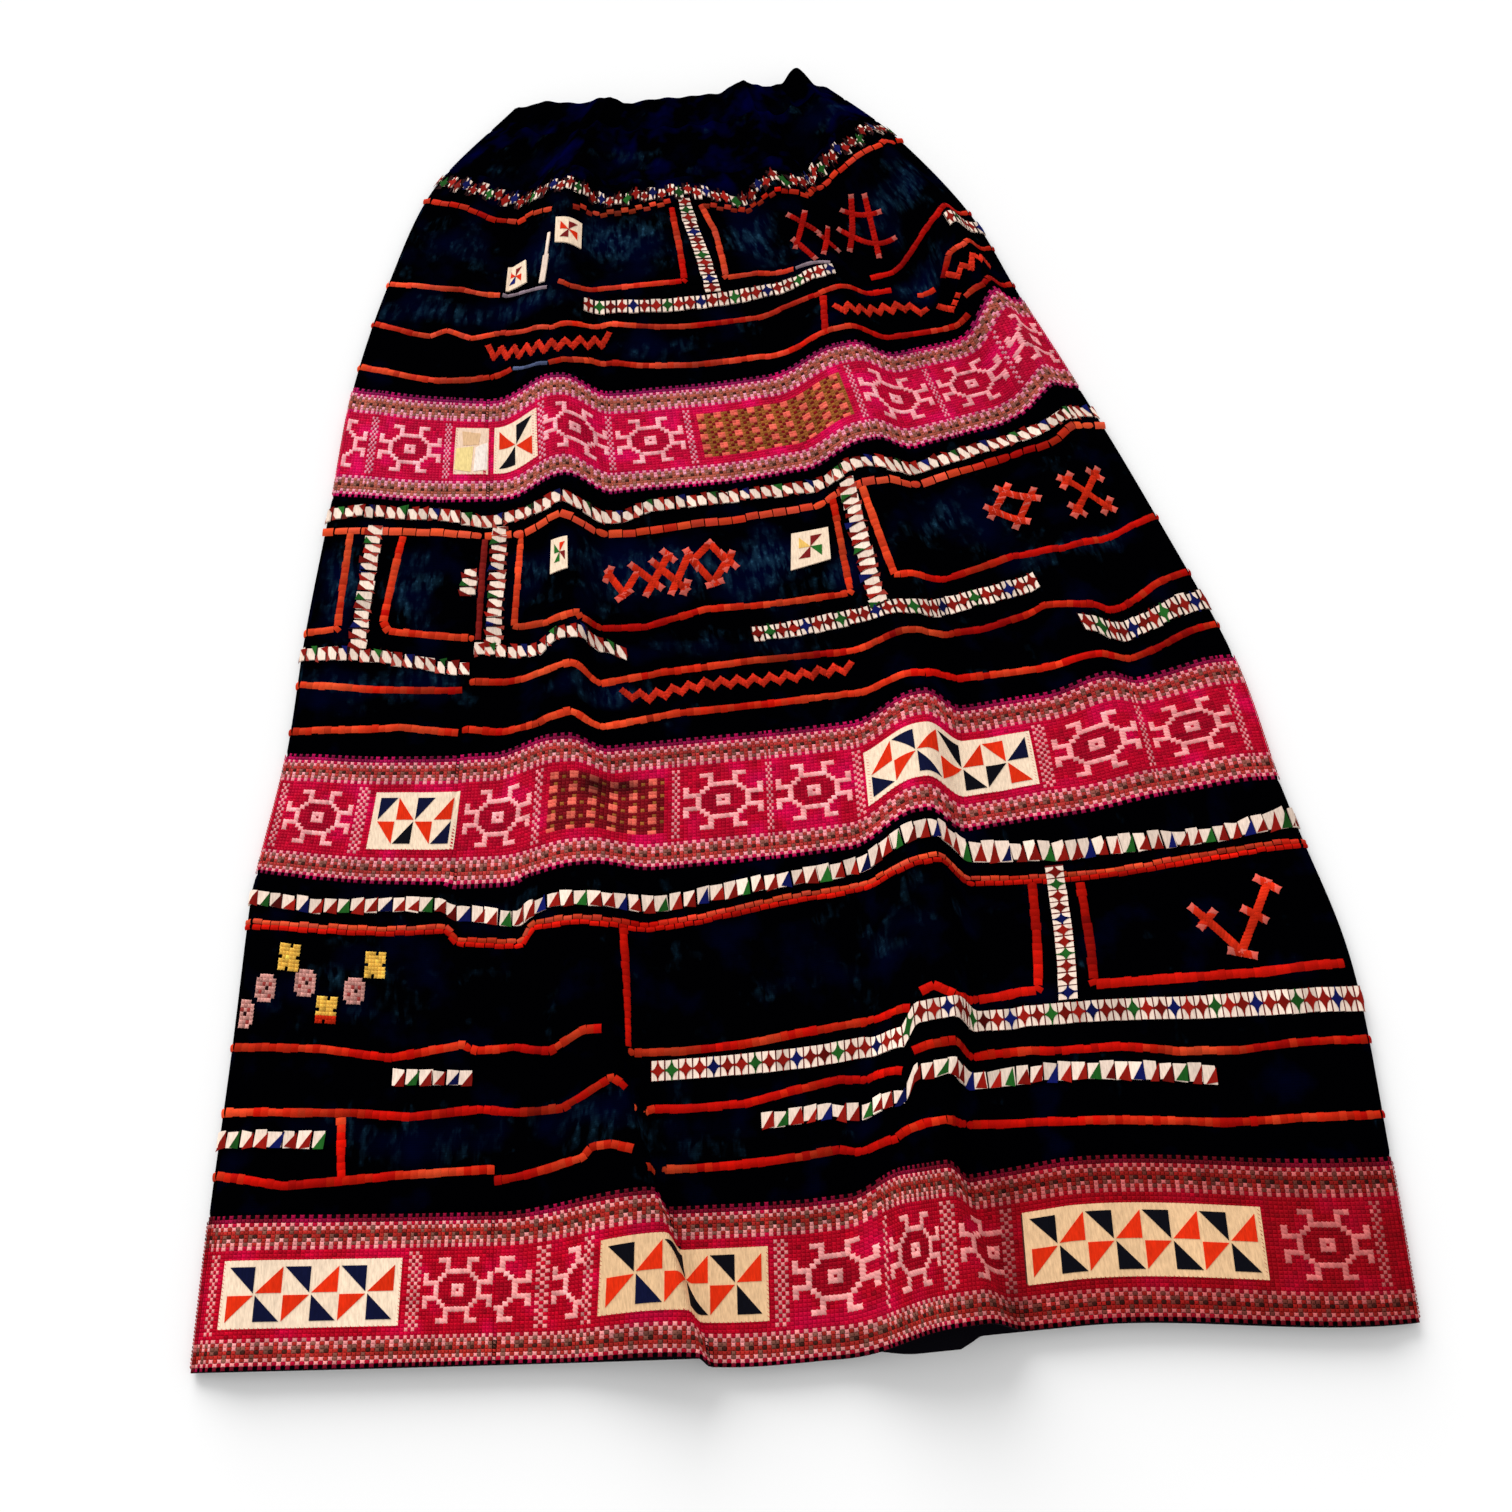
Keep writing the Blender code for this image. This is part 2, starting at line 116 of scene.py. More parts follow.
# %% [markdown]
# Three long folds and a tuck run down the front. Each is a table of where its crest lies at some
# drops, how high it stands, how far it lifts and leans the weave, and how far it reaches to each
# side. Unlike a sculpted mesh, a table can be set against the photograph one number at a time.

# %% Long folds
Fold = namedtuple("Fold", "drop place height lift lean left right flat")
FOLD_A = rows_of(
    Fold,
    (0, 0.3, 3, 2, 0, 18, 18, 0),
    (92, 0.29, 11, 9, 0, 36, 24, 2),
    (183, 0.285, 10, 3, 0, 36, 28, 2),
    (273, 0.298, 14, 9, 0, 44, 34, 2),
    (360.5, 0.303, 14, 9, 0, 44, 32, 0),
    (468, 0.306, 14, 5, 3, 46, 20, 0),
    (558, 0.282, 12, 6, 1, 40, 26, 4),
    (645.5, 0.314, 11, 4, 0, 50, 40, 4),
    (753, 0.326, 13, 7, 4, 60, 18, 0),
    (843, 0.362, 15, 9, 6, 84, 16, 0),
    (930.5, 0.4, 14, 3, 6, 76, 16, 0),
)
FOLD_B = rows_of(
    Fold,
    (0, 0.74, 4, 2, 0, 18, 18, 0),
    (92, 0.744, 10, 2, 0, 26, 26, 4),
    (183, 0.735, 10, 3, 0, 40, 30, 2),
    (273, 0.722, 13, 8, 0, 52, 34, 4),
    (360.5, 0.703, 14, 5, 0, 40, 30, 4),
    (468, 0.69, 12, 4, 0, 40, 30, 2),
    (558, 0.66, 14, 10, 0, 44, 26, 2),
    (645.5, 0.642, 17, 12, 0, 44, 26, 3),
    (753, 0.614, 18, 8, 2, 26, 18, 13),
    (843, 0.598, 18, 8, 2, 30, 18, 12),
    (930.5, 0.625, 20, 4, 2, 60, 26, 12),
)
FOLD_C = rows_of(
    Fold,
    (0, 0.93, 2, 0, 0, 14, 14, 0),
    (92, 0.93, 9, 0, 0, 30, 30, 0),
    (183, 0.94, 13, 0, 0, 30, 30, 2),
    (273, 0.945, 14, 0, 0, 28, 30, 2),
    (360.5, 0.945, 12, 0, 0, 30, 30, 2),
    (468, 0.89, 9, 3, 0, 40, 36, 2),
    (558, 0.858, 8, 4, 0, 40, 24, 0),
    (645.5, 0.87, 3, 0, 0, 40, 30, 0),
    (753, 0.87, 0, 0, 0, 40, 30, 0),
    (930.5, 0.87, 0, 0, 0, 40, 30, 0),
)
TUCK = rows_of(
    Fold,
    (0, 0.16, 0, 0, 0, 14, 14, 0),
    (92, 0.16, -1.5, -8, 0, 26, 16, 4),
    (183, 0.18, -1, -2, 0, 26, 20, 4),
    (360.5, 0.2, 0, 0, 0, 20, 20, 4),
    (630, 0.215, 0, 0, 0, 12, 12, 16),
    (661, 0.22, 2, -7, 0, 12, 10, 18),
    (753, 0.245, 1, -1, 0, 16, 12, 14),
    (843, 0.27, 0, 0, 0, 20, 12, 10),
    (930.5, 0.27, 0, 0, 0, 20, 12, 10),
)
FOLDS = (FOLD_A, FOLD_B, FOLD_C, TUCK)
print("rows of the folds:", sum(len(table) for table in FOLDS))

# %% [markdown]
# The elastic gathers the waist into short, uneven ruffles, placed by station, one of the lines that
# fan out between the folds. Rim and hem have lumps of their own, and the back hangs out at one place.

# %% Gathers, rim and hem
Gather = namedtuple("Gather", "station depth rise")
GATHERS = rows_of(
    Gather,
    (2, 3, 0.5), (4, 4.5, 2), (6, 3, 0), (9, 4, 1.5), (11, 3.5, 1), (14, 4.5, -4),
    (16, 3, 1), (18, 4, 2), (20, 3, 0), (22, 4.5, 5), (24, 3.5, 1.5), (27, 4.5, 1),
    (30, 3, 2), (33, 6, 11), (36, 4, 3), (39, 3, 0),
)
GATHER_REACH, GATHER_RISE_REACH = 120.0, 26.0
AT_RIM = 0.3

Lump = namedtuple("Lump", "place reach rise")
RIM = rows_of(Lump, (0.12, 16, 1.0), (0.25, 9, 2.2), (0.355, 6, -3.0), (0.47, 14, 1.0), (0.58, 8, 0.8),
              (0.715, 10, 4.0), (0.8, 8, 1.5), (0.915, 9.5, 12.5))
BACK_HEM_FROM, BACK_HEM_TO, BACK_HEM_START, BACK_HEM_END = 0.53, 0.625, 0.06, 0.02
BACK_HEM_DROP, BACK_HEM_REACH = 6.0, 80.0
HEM_SAG = (Lump(0.45, 60, -6.0), Lump(0.555, 28, -4.0))
HEM_SAG_REACH = 60.0
print("gathers:", len(GATHERS), "lumps:", len(RIM) + len(HEM_SAG))

# %% [markdown]
# Between two rows of a table every value follows a smooth curve, so that a fold swells, leans and
# sinks without a kink. A line of the weave has two level lengths, a sag and a rise at the right.

# %% Read the tables
STATION_STEPS = (11, 16, 14)
EVEN_SPACING = 0.5


def between(low, high, share):
    return low + (high - low) * share


def ease(share):
    """0 below 0, 1 above 1, and a smooth step from one to the other."""
    share = np.clip(share, 0.0, 1.0)
    return share * share * (3.0 - 2.0 * share)


def read_row(table, drop):
    """The table's row at any drop, on a smooth curve through its rows."""
    drop = min(max(drop, table[0].drop), table[-1].drop)
    k = max(i for i, row in enumerate(table[:-1]) if row.drop <= drop)
    before, start, end, after = (table[min(max(i, 0), len(table) - 1)] for i in range(k - 1, k + 3))
    span = end.drop - start.drop
    share = (drop - start.drop) / span
    values = []
    for b, s, e, a in zip(before, start, end, after):
        slope_in = (e - b) / (end.drop - before.drop) * span
        slope_out = (a - s) / (after.drop - start.drop) * span
        bend = slope_in + slope_out + 2.0 * (s - e)
        ramp = 3.0 * (e - s) - 2.0 * slope_in - slope_out
        values.append(((bend * share + ramp) * share + slope_in) * share + s)
    return type(start)(*values)


def station_places(drop):
    """The place of every station, which follow the two main folds."""
    bounds = (0.0, read_row(FOLD_A, drop).place, read_row(FOLD_B, drop).place, 1.0)
    places = [0.0]
    for steps, low, high in zip(STATION_STEPS, bounds, bounds[1:]):
        even = np.arange(1, steps + 1) / steps
        places += list(between(low, high, between((1 - np.cos(np.pi * even)) / 2, even, EVEN_SPACING)))
    return places


def resting_y(section, place):
    """How far up a line of the weave lies at each place, with no fold lifting it."""
    left = between(section.mid_y, section.left_y, np.clip(1.0 - 2.0 * place, 0, 1) ** section.sag)
    ramp = np.clip((place - 0.5) / (section.rise_from - 0.5), 0, 1) ** RAMP_POWER
    right = between(section.mid_y, section.shoulder_y, ramp)
    rise = ease((place - section.rise_from) / (section.rise_to - section.rise_from))
    far = between(section.shoulder_y, section.right_y, rise)
    return np.where(place < 0.5, left, np.where(place < section.rise_from, right, far))


def side_radius(drop):
    return between(CASING_SIDE_RADIUS, SIDE_RADIUS, ease(drop / TOP))


print("stations at the hem:", [round(float(p), 2) for p in station_places(LENGTH)[::6]])

# %% [markdown]
# Handwoven cotton that has been worn and folded away has many small creases, more than the solids
# hold. Each is a soft trough or ridge along a line on the cloth, listed one by one. Under each gathered
# seam a row of short ripples runs down from it, uneven in length and depth.

# %% Creases listed one by one
Crease = namedtuple("Crease", "place drop to_place to_drop height reach")
CREASES = rows_of(
    Crease,
    (0.13, 30, 0.16, 105, -1.4, 5), (0.22, 26, 0.24, 96, 1.6, 6), (0.36, 30, 0.35, 100, -1.5, 5),
    (0.42, 28, 0.44, 120, 1.3, 6), (0.5, 30, 0.49, 92, -1.3, 5), (0.57, 30, 0.58, 110, 1.5, 6),
    (0.64, 28, 0.63, 100, -1.4, 5), (0.8, 30, 0.82, 112, -1.8, 6), (0.87, 34, 0.89, 128, 1.6, 7),
    (0.33, 76, 0.345, 112, -1.2, 4), (0.255, 110, 0.25, 185, -0.9, 4), (0.66, 80, 0.68, 104, 1.2, 5),
    (0.795, 74, 0.8, 108, 1.8, 6), (0.845, 70, 0.85, 104, -1.6, 5), (0.6, 112, 0.63, 178, 0.8, 8),
    (0.4, 120, 0.43, 170, -0.6, 9), (0.08, 120, 0.13, 200, 0.7, 9), (0.78, 190, 0.84, 255, -0.8, 6),
    (0.115, 215, 0.12, 262, 0.9, 7), (0.24, 214, 0.245, 262, -0.9, 5), (0.4, 275, 0.43, 352, -0.6, 8),
    (0.58, 280, 0.6, 350, 0.7, 9), (0.33, 372, 0.36, 460, -0.8, 7), (0.47, 380, 0.5, 470, 0.6, 10),
    (0.25, 362, 0.24, 400, -1.1, 4), (0.745, 362, 0.76, 420, -1, 6), (0.8, 380, 0.82, 470, 0.7, 9),
    (0.06, 480, 0.1, 560, -0.6, 9), (0.39, 490, 0.42, 556, 0.7, 8), (0.6, 500, 0.57, 556, -0.8, 7),
    (0.93, 470, 0.945, 560, -0.9, 6), (0.335, 558, 0.34, 640, -1.2, 6), (0.72, 560, 0.73, 640, -1, 8),
    (0.12, 560, 0.14, 640, 0.6, 10), (0.45, 570, 0.47, 636, 0.5, 10), (0.385, 668, 0.39, 742, -0.6, 8),
    (0.52, 660, 0.5, 750, 0.6, 12), (0.08, 680, 0.12, 740, -0.6, 10), (0.245, 655, 0.25, 700, -1, 5),
    (0.71, 660, 0.7, 750, -0.9, 8), (0.83, 770, 0.85, 836, -0.8, 8), (0.9, 850, 0.88, 925, -0.8, 6),
    (0.06, 850, 0.05, 925, 0.6, 10), (0.29, 850, 0.3, 925, -0.9, 6), (0.5, 850, 0.52, 925, -0.6, 9),
    (0.955, 700, 0.96, 800, 0.7, 9),
)

Ripple = namedtuple("Ripple", "place length height")
RIPPLES = {
    TOP: rows_of(Ripple, (0.05, 34, 1.1), (0.1, 26, -1.0), (0.185, 40, 1.2), (0.24, 30, -1.0), (0.345,
        38, 1.3), (0.385, 30, -1.1), (0.43, 42, 1.2), (0.475, 30, -1.0), (0.53, 38, 1.1), (0.58, 28,
        -1.1), (0.63, 36, 1.2), (0.69, 30, -1.2), (0.795, 40, 1.4), (0.835, 30, -1.2), (0.88, 36, 1.0)),
    TOP + TIER: rows_of(Ripple, (0.06, 40, 0.6), (0.14, 30, -0.7), (0.225, 46, 0.8), (0.36, 36, -0.8),
        (0.41, 44, 0.7), (0.52, 30, -0.6), (0.6, 40, 0.7), (0.77, 44, -0.9), (0.84, 34, 0.7)),
    TOP + 2 * TIER: rows_of(Ripple, (0.07, 44, 0.6), (0.16, 34, -0.6), (0.38, 40, 0.7), (0.46, 30,
        -0.6), (0.56, 44, 0.6), (0.74, 36, -0.7), (0.85, 40, 0.5), (0.93, 30, -0.6)),
}
RIPPLE_REACH, RIPPLE_ABOVE = 5.5, 12.0

# The long joining seam of the front: its place at some drops.
SEAM_DROPS = (75, 274, 359, 372, 486, 512, 558, 676, 745, 819, 930)
SEAM_PLACES = (0.205, 0.1939, 0.2, 0.1903, 0.1864, 0.1862, 0.1741, 0.1926, 0.2059, 0.235, 0.2443)
SEAM_DEPTH, SEAM_REACH, SEAM_FADE = 0.9, 1.6, 20.0

print("creases:", len(CREASES), "ripples:", sum(len(r) for r in RIPPLES.values()))

# %% [markdown]
# One function adds up creases, ripples and the joining seam anywhere on the cloth. A crease fades
# over a third of its length at each end.

# %% Height of the creases
CREASE_FADE, CREASE_TIP = 3, 0.5


def crease_height(places, drops, width):
    """How far the creases raise or sink the cloth, in millimetres."""
    height = np.zeros(np.broadcast(places, drops).shape)
    for c in CREASES:
        run, fall = (c.to_place - c.place) * width, c.to_drop - c.drop
        across, down = (places - c.place) * width, drops - c.drop
        along = (across * run + down * fall) / (run * run + fall * fall)
        nearest = np.clip(along, 0, 1)
        gap = np.hypot(across - nearest * run, down - nearest * fall)
        fade = ease(along * CREASE_FADE + CREASE_TIP) * ease((1 - along) * CREASE_FADE + CREASE_TIP)
        height += c.height * fade * np.exp(-(gap / c.reach) ** 2)
    for seam, ripples in RIPPLES.items():
        for r in ripples:
            below = drops - seam
            fade = np.where(below < 0, ease(1 + below / RIPPLE_ABOVE), 1 - ease(below / r.length))
            height += r.height * fade * np.exp(-((places - r.place) * width / RIPPLE_REACH) ** 2)
    seam_gap = (places - np.interp(drops, SEAM_DROPS, SEAM_PLACES)) * width
    fade = ease((drops - SEAM_DROPS[0]) / SEAM_FADE)
    height -= SEAM_DEPTH * np.exp(-(seam_gap / SEAM_REACH) ** 2) * fade
    return height


print("height of a crease's middle:", float(crease_height(0.145, 67.5, 350.0)))

# %% [markdown]
# The solids have one mesh line every few centimetres. Here the same surface is read on a grid with
# one to three points a millimetre across and one every two millimetres down. All that lies on the
# cloth is placed on that grid. NumPy works on a whole line of points at once, which keeps this quick.

# %% The cloth's grid
GRID_DROPS = np.linspace(0, LENGTH, 466)
GRID_PLACES = np.linspace(0, 1, 701)


def swell(away, fold):
    """A fold's profile across the front: 1 on its flat top, falling smoothly to 0 on both sides."""
    reach = np.where(away < 0, fold.left, fold.right)
    return 0.5 + 0.5 * np.cos(np.pi * np.minimum(np.maximum(np.abs(away) - fold.flat, 0) / reach, 1))


def front_line(drop):
    """The front's outer side along one line of the weave."""
    section, radius, places = read_row(SECTIONS, drop), side_radius(drop), GRID_PLACES
    width = section.right_x - section.left_x - 2 * radius
    x = section.left_x + radius + width * places
    y = resting_y(section, places)
    inside = ease(np.minimum(places, 1 - places) * width / EDGE_RUN)
    z = section.puff * inside
    for table in FOLDS:
        fold = read_row(table, drop)
        share = swell((places - fold.place) * width, fold)
        x = x + fold.lean * share
        y = y + fold.lift * share * inside
        z = z + fold.height * share * inside
    stations = np.interp(places, station_places(drop), np.arange(sum(STATION_STEPS) + 1))
    for gather in GATHERS:
        near = ease(1 - np.abs(stations - gather.station))
        depth = gather.depth * between(AT_RIM, 1.0, ease(drop / CASING))
        z = z + depth * near * (1 - ease(drop / GATHER_REACH)) * inside
    for lump in RIM:
        near = np.exp(-np.abs((places - lump.place) * width / lump.reach) ** 3)
        y = y + lump.rise * near * (1 - ease(drop / GATHER_RISE_REACH))
    for lump in HEM_SAG:
        near = np.exp(-((places - lump.place) * width / lump.reach) ** 2)
        y = y + lump.rise * near * ease(1 - (LENGTH - drop) / HEM_SAG_REACH)
    z = z + crease_height(places, drop, width) * inside
    return np.stack([x, y, 2 * radius + z], 1)


def back_line(drop):
    """The back's outer side along one line, flat on the floor."""
    section, radius, places = read_row(SECTIONS, drop), side_radius(drop), GRID_PLACES
    x = section.left_x + radius + (section.right_x - section.left_x - 2 * radius) * places
    hang = ease((places - BACK_HEM_FROM) / BACK_HEM_START)
    hang *= 1 - ease((places - BACK_HEM_TO) / BACK_HEM_END)
    hang *= ease((drop - LENGTH + BACK_HEM_REACH) / BACK_HEM_REACH)
    return np.stack([x, resting_y(section, places) - BACK_HEM_DROP * hang, 0 * x], 1)


def unit(vectors):
    return vectors / np.maximum(np.linalg.norm(vectors, axis=-1, keepdims=True), 1e-12)


FRONT = (np.array([front_line(d) for d in GRID_DROPS]) - ORIGIN) * MM
BACK = (np.array([back_line(d) for d in GRID_DROPS]) - ORIGIN) * MM
FRONT_OUT = unit(np.cross(np.gradient(FRONT, axis=1), -np.gradient(FRONT, axis=0)))
RADII = np.array([side_radius(d) for d in GRID_DROPS]) * MM
print("front grid", FRONT.shape, "highest", round(float(FRONT[..., 2].max()) / MM, 1), "mm")

# %% [markdown]
# All that is sewn on asks one function where the cloth is, whole arrays at once. So nothing needs a
# shrinkwrap, and everything stays on its strip where the cloth folds.

# %% Points round the tube
def sample(grid, places, drops):
    """The grid's value at any places and drops, between its nearest points."""
    p = np.clip(places, 0, 1) * (len(GRID_PLACES) - 1)
    d = np.clip(drops / LENGTH, 0, 1) * (len(GRID_DROPS) - 1)
    i = np.minimum(p.astype(int), len(GRID_PLACES) - 2)
    j = np.minimum(d.astype(int), len(GRID_DROPS) - 2)
    s, t = (p - i)[..., None], (d - j)[..., None]
    return ((grid[j, i] * (1 - s) + grid[j, i + 1] * s) * (1 - t)
            + (grid[j + 1, i] * (1 - s) + grid[j + 1, i + 1] * s) * t)


def tube(turns, drops, height):
    """Points round the tube, height millimetres out from its cloth, and which way is out there.

    A turn from 0 to 1 crosses the front from left to right, to 2 goes round the right side, to 3
    crosses the back, and to 4 comes round the left side.
    """
    turns, drops, height = np.broadcast_arrays(turns, drops, height)
    part = np.minimum(turns.astype(int), 3)
    share = turns - part
    place = np.choose(part, [share, np.ones_like(share), 1 - share, np.zeros_like(share)])
    edge, up = sample(FRONT, place, drops), sample(FRONT_OUT, place, drops)
    radius = np.interp(drops, GRID_DROPS, RADII)
    angle = np.pi * np.choose(part, [0 * share, share, 0 * share, 1 - share])
    side = np.where(part == 1, 1.0, -1.0)
    round_out = np.stack([side * np.sin(angle), 0 * angle, np.cos(angle)], -1)
    middle = np.concatenate([edge[..., :2], radius[..., None]], -1)
    part = part[..., None]
    down = np.broadcast_to([0.0, 0.0, -1.0], edge.shape)
    points = np.where(part == 0, edge, np.where(part == 2, sample(BACK, place, drops),
                                                middle + radius[..., None] * round_out))
    out = np.where(part == 0, unit(up), np.where(part == 2, down, round_out))
    return points + out * height[..., None] * MM, out


print("middle of the hem:", np.round(tube(0.5, LENGTH, 0.0)[0], 3))

# %% [markdown]
# ## Nodes written as sums
#
# Materials and stitches are both graphs of nodes. A small class wraps one socket, so that a sum or a
# product written in Python adds its Math node. Any other node comes from one method that takes the
# node's type, the values or links of its sockets, and its settings.

# %% A socket that can be added and multiplied
class Value:
    """One output socket, which sums and products turn into nodes."""

    def __init__(self, graph, socket):
        self.graph, self.socket = graph, socket

    def __add__(self, other):
        return self.graph.node("ShaderNodeMath", {0: self, 1: other}, operation="ADD")

    def __mul__(self, other):
        return self.graph.node("ShaderNodeMath", {0: self, 1: other}, operation="MULTIPLY")

    __radd__, __rmul__ = __add__, __mul__


class Graph:
    """A tree of nodes, with a short way to add the usual ones."""

    def __init__(self, tree):
        self.tree = tree

    def node(self, kind, inputs=None, output=0, stops=None, **settings):
        """Adds a node, with its settings first and then its sockets, and gives one of its outputs."""
        node = self.tree.nodes.new(kind)
        for name, value in settings.items():
            setattr(node, name, value)
        if stops:
            ramp = node.color_ramp
            while len(ramp.elements) < len(stops):
                ramp.elements.new(1.0)
            for element, (at, grey) in zip(ramp.elements, stops):
                element.position, element.color = at, (grey, grey, grey, 1.0)
        for name, value in (inputs or {}).items():
            socket = node.inputs[name]
            if isinstance(value, Value):
                self.tree.links.new(value.socket, socket)
            else:
                socket.default_value = value
        return Value(self, node.outputs[output]) if len(node.outputs) else node

    def mix(self, share, first, second):
        """One colour turning into another."""
        return self.node("ShaderNodeMix", {0: share, 6: first, 7: second}, output=2, data_type="RGBA")

    def stretch(self, vector, x, y, z=1.0):
        return self.node("ShaderNodeVectorMath", {0: vector, 1: (x, y, z)}, operation="MULTIPLY")

    def noise(self, vector, scale, detail=2.0, roughness=0.5):
        return self.node("ShaderNodeTexNoise", {"Vector": vector, "Scale": scale, "Detail": detail,
                                                "Roughness": roughness})

    def ramp(self, share, *stops):
        return self.node("ShaderNodeValToRGB", {0: share}, stops=stops)


def new_material(name, roughness, shine):
    """A material with its graph and its Principled shader."""
    material = bpy.data.materials.new(name)
    material.use_nodes = True
    shader = next(n for n in material.node_tree.nodes if n.type == "BSDF_PRINCIPLED")
    shader.inputs["Roughness"].default_value = roughness
    shader.inputs["Specular IOR Level"].default_value = shine
    return material, Graph(material.node_tree), shader


def feed(graph, shader, **links):
    for socket, value in links.items():
        graph.tree.links.new(value.socket, shader.inputs[socket.replace("_", " ")])


print("a graph can add:", [word for word in vars(Graph) if word[0] != "_"])

# %% [markdown]
# ## Indigo cloth
#
# Cotton dyed many times in indigo is nearly black. Where it has rubbed, teal flecks of the yarn show,
# with painted highlight on them, most of all on the upper and left panels; deep blue clouds and patches
# are painted sheen. A painted mask would do, but a table says it in few words: where the cloth is worn
# and sheen is painted, how far across and down, and how much.

# %% Worn places and painted sheen
INDIGO = (0.0002, 0.0002, 0.0005, 1)
# The deep blue and the blue of the plain top's patches are painted sheen; the teal is worn yarn with
# painted highlight.
DEEP_BLUE = (0.0003, 0.0012, 0.014, 1)
TEAL = (0.022, 0.085, 0.15, 1)
SHEEN_BLUE = (0.0002, 0.0004, 0.023, 1)
WEAVE_MAP, BAKE_MAP = "weave_m", "OFBake"
FLECKS = (260.0, 200.0)
STREAKS = (FLECKS[0] * 0.8, FLECKS[1] / 3)
SLUBS = (60.0, 600.0)
CLOUDS, BLUE_CLOUDS, SHEEN_PATCHES = 45.0, 30.0, 26.0
WEAR_AND_SHEEN_CLOUDS, WEAR_AND_SHEEN_BLUE = 0.5, 0.45
SHEEN_PATCHES_END, SHEEN_PATCHES_GONE = 0.085, 0.1
STREAK_SHARE, FLECK_SHARE = 0.3, 1.1
YARNS = 1500.0 / 6.28
YARN_SHARE, YARN_BUMP, YARN_DISTANCE = 0.3, 0.6, 0.00035

# Rows of worn cloth and painted sheen: place, drop, reach across, reach down and share.
Worn = namedtuple("Worn", "place drop across down share")
WEAR_AND_SHEEN_PLACES = rows_of(
    Worn,
    (0.13, 55, 45, 22, 0.3), (0.4, 55, 45, 18, 0.3), (0.9, 52, 30, 22, 0.35),
    (0.39, 138, 50, 26, 1), (0.26, 165, 26, 20, 0.7), (0.235, 200, 40, 10, 0.8),
    (0.08, 145, 40, 26, 0.5), (0.1, 205, 55, 12, 0.7), (0.645, 146, 26, 30, 0.8),
    (0.92, 150, 26, 22, 0.7), (0.88, 212, 30, 16, 0.6), (0.45, 240, 60, 12, 0.45),
    (0.03, 429, 14, 30, 0.8), (0.12, 429, 18, 30, 0.7), (0.255, 434, 16, 26, 0.6),
    (0.4, 428, 55, 24, 0.9), (0.53, 434, 40, 26, 0.9), (0.62, 451, 18, 14, 0.7),
    (0.77, 428, 40, 26, 0.5), (0.89, 475, 40, 10, 0.6), (0.33, 522, 30, 10, 0.7),
    (0.09, 507, 55, 14, 0.6), (0.45, 492, 70, 10, 0.45), (0.11, 713, 40, 26, 0.38),
    (0.56, 706, 60, 30, 0.28), (0.17, 801, 45, 12, 0.5), (0.32, 799, 30, 14, 0.55),
    (0.22, 660, 30, 12, 0.4), (0.4, 800, 50, 16, 0.25),
)
WEAR_AND_SHEEN_WIDTH = 520.0


def wear_and_sheen_share(turns, drops):
    """How worn the cloth is and how much painted sheen it has, from 0 to 1, at each turn and drop."""
    share = np.zeros(np.broadcast(turns, drops).shape)
    for w in WEAR_AND_SHEEN_PLACES:
        gap = ((turns - w.place) * WEAR_AND_SHEEN_WIDTH / w.across) ** 2 + ((drops - w.drop) / w.down) ** 2
        share = np.maximum(share, w.share * np.exp(-gap))
    return share


print("worn places:", len(WEAR_AND_SHEEN_PLACES))

# %% [markdown]
# The material mixes three depths of blue by noises that read the piece's own map, in metres of cloth,
# so the pattern follows the weave. Each ramp says where a noise begins to show and where it is full.
# The ridges of the yarns are bump, which costs no geometry.

# %% Indigo cloth material
def yarns(g, weave, direction, output):
    """The ridges of the yarns that lie side by side in one direction."""
    sockets = {"Vector": weave, "Scale": YARNS, "Distortion": 0.6, "Detail": 1.0}
    return g.node("ShaderNodeTexWave", sockets, output=output, bands_direction=direction)


